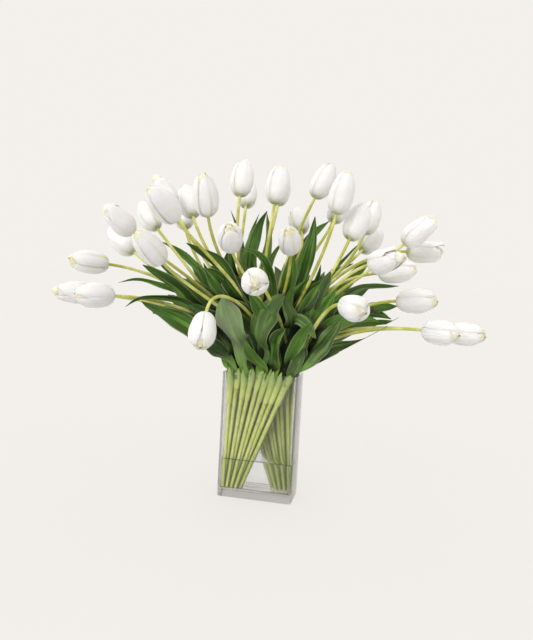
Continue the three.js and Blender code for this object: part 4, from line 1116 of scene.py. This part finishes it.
petalSkins = petalMaterial("petalOutside", False), petalMaterial("petalInside", True)
stemSkin, sheathSkin = stemMaterial(), sheathMaterial()
leafFace = leafMaterial("leafFace", leafFinish["face"])
leafBack = leafMaterial("leafBack", leafFinish["back"])
paleLeaf = leafMaterial("paleLeaf", leafFinish["pale"])
clearGlass = clearMaterial("clearGlass", clearFinish["glass"])
clearWater = clearMaterial("clearWater", clearFinish["water"])
waterEdgeShadeAndReflection = edgeMaterial()
print("finishes made")

for tulip in tulips:
    makeBloom(tulip, (*petalSkins, stemSkin))
print("blooms made")
for group in range(1, 19):
    makeBunch(group, (stemSkin, leafFace, leafBack, sheathSkin, paleLeaf))
print("stems and leaves made")
makeVase(clearGlass)
makeWater(clearWater, waterEdgeShadeAndReflection)
print("vase and water made")

studio = {  # sky lights the scene and floorLamp the floor alone, which keeps both as pale as "pale"
    "pale": tone(243, 240, 235), "sky": 1.14, "spread": 40.0, "lamp": 1.75, "floorLamp": 24,
    "lampAngle": 40, "lampTilt": (50, -28), "lampColour": (1.0, 0.985, 0.965),
    "floorDrop": 0.0002, "grain": 0.997,
}


def makeFloor(colour):
    mesh = bpy.data.meshes.new("floor")
    s = studio["spread"]
    mesh.from_pydata([(-s, -s, 0), (s, -s, 0), (s, s, 0), (-s, s, 0)], [], [(0, 1, 2, 3)])
    material, net, sockets = newMaterial("paleFloor", {"Roughness": 0.9, "Specular IOR Level": 0.0})
    grain = net.span(net.noise(net.place(), 3.0, 3.0), 0.3, 0.7)
    net.put(sockets["Base Color"], net.blend(grain, (*colour, 1), (*(colour * studio["grain"]), 1)))
    mesh.materials.append(material)
    obj = addObject("floor", mesh)
    obj.location.z = -studio["floorDrop"]
    return obj


def makeWorld():  # the backdrop is seen at its own strength and lights the scene at another
    world = bpy.data.worlds.new("studio")
    bpy.context.scene.world = world
    world.use_nodes = True
    nodes, net = world.node_tree.nodes, Net(world.node_tree)
    net.put(nodes["Background"].inputs[0], studio["pale"])
    net.put(nodes["Background"].inputs[1], studio["sky"])
    seen = net.add("ShaderNodeBackground", {0: studio["pale"]})
    rays = net.add("ShaderNodeLightPath").outputs
    straight = net.math("MAXIMUM", rays["Is Camera Ray"], rays["Is Transmission Ray"])
    mixer = net.add("ShaderNodeMixShader", {
        0: straight, 1: nodes["Background"].outputs[0], 2: seen.outputs[0]})
    net.put(nodes["World Output"].inputs[0], mixer.outputs[0])


def makeLamp(name, strength, shadow, lit, lights):  # a soft lamp for some pieces alone
    lamp = bpy.data.lights.new(name, "SUN")
    lamp.energy, lamp.angle = strength, math.radians(studio["lampAngle"])
    lamp.color, lamp.use_shadow = studio["lampColour"], shadow
    obj = addObject(name, lamp)
    obj.rotation_euler = tuple(math.radians(a) for a in studio["lampTilt"]) + (0,)
    group = bpy.data.collections.new(lit)
    bpy.context.scene.collection.children.link(group)
    for piece in lights:
        group.objects.link(piece)
    obj.light_linking.receiver_collection = group
    return obj


makeWorld()
bouquet = [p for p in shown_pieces() if p.name.startswith(("petals", "leafyStems"))]
key = makeLamp("keyLamp", studio["lamp"], True, "bouquet", bouquet)
steepness = key.rotation_euler.to_matrix().col[2][2]
sky = np.array(studio["pale"][:3])
lampShare = studio["floorLamp"] * steepness / math.pi * np.array(studio["lampColour"])
floor = makeFloor(sky / (sky * studio["sky"] + lampShare))
makeLamp("floorLamp", studio["floorLamp"], False, "ground", [floor])

cameraView = {"distance": 1.03, "round": 12.0, "height": 0.359, "pitch": 4.2, "roll": 3.1, "lens": 36.56}


def makeCamera():
    c = cameraView
    a, p, r = (math.radians(c[k]) for k in ("round", "pitch", "roll"))
    ahead = np.array([-math.sin(a) * math.cos(p), math.cos(a) * math.cos(p), -math.sin(p)])
    right = unit(np.cross(ahead, [0, 0, 1]))
    up = np.cross(right, ahead)
    across = right * math.cos(r) + up * math.sin(r)
    upright = -right * math.sin(r) + up * math.cos(r)
    camera = bpy.data.cameras.new("camera")
    camera.lens, camera.sensor_width = c["lens"], 36
    obj = addObject("camera", camera)
    obj.rotation_mode = "QUATERNION"
    obj.rotation_quaternion = Matrix(np.stack([across, upright, -ahead], 1).tolist()).to_quaternion()
    obj.location = (math.sin(a) * c["distance"], -math.cos(a) * c["distance"], c["height"])
    bpy.context.scene.camera = obj


makeCamera()
bpy.context.scene.view_settings.view_transform = "Standard"
print("floor, light and camera made")
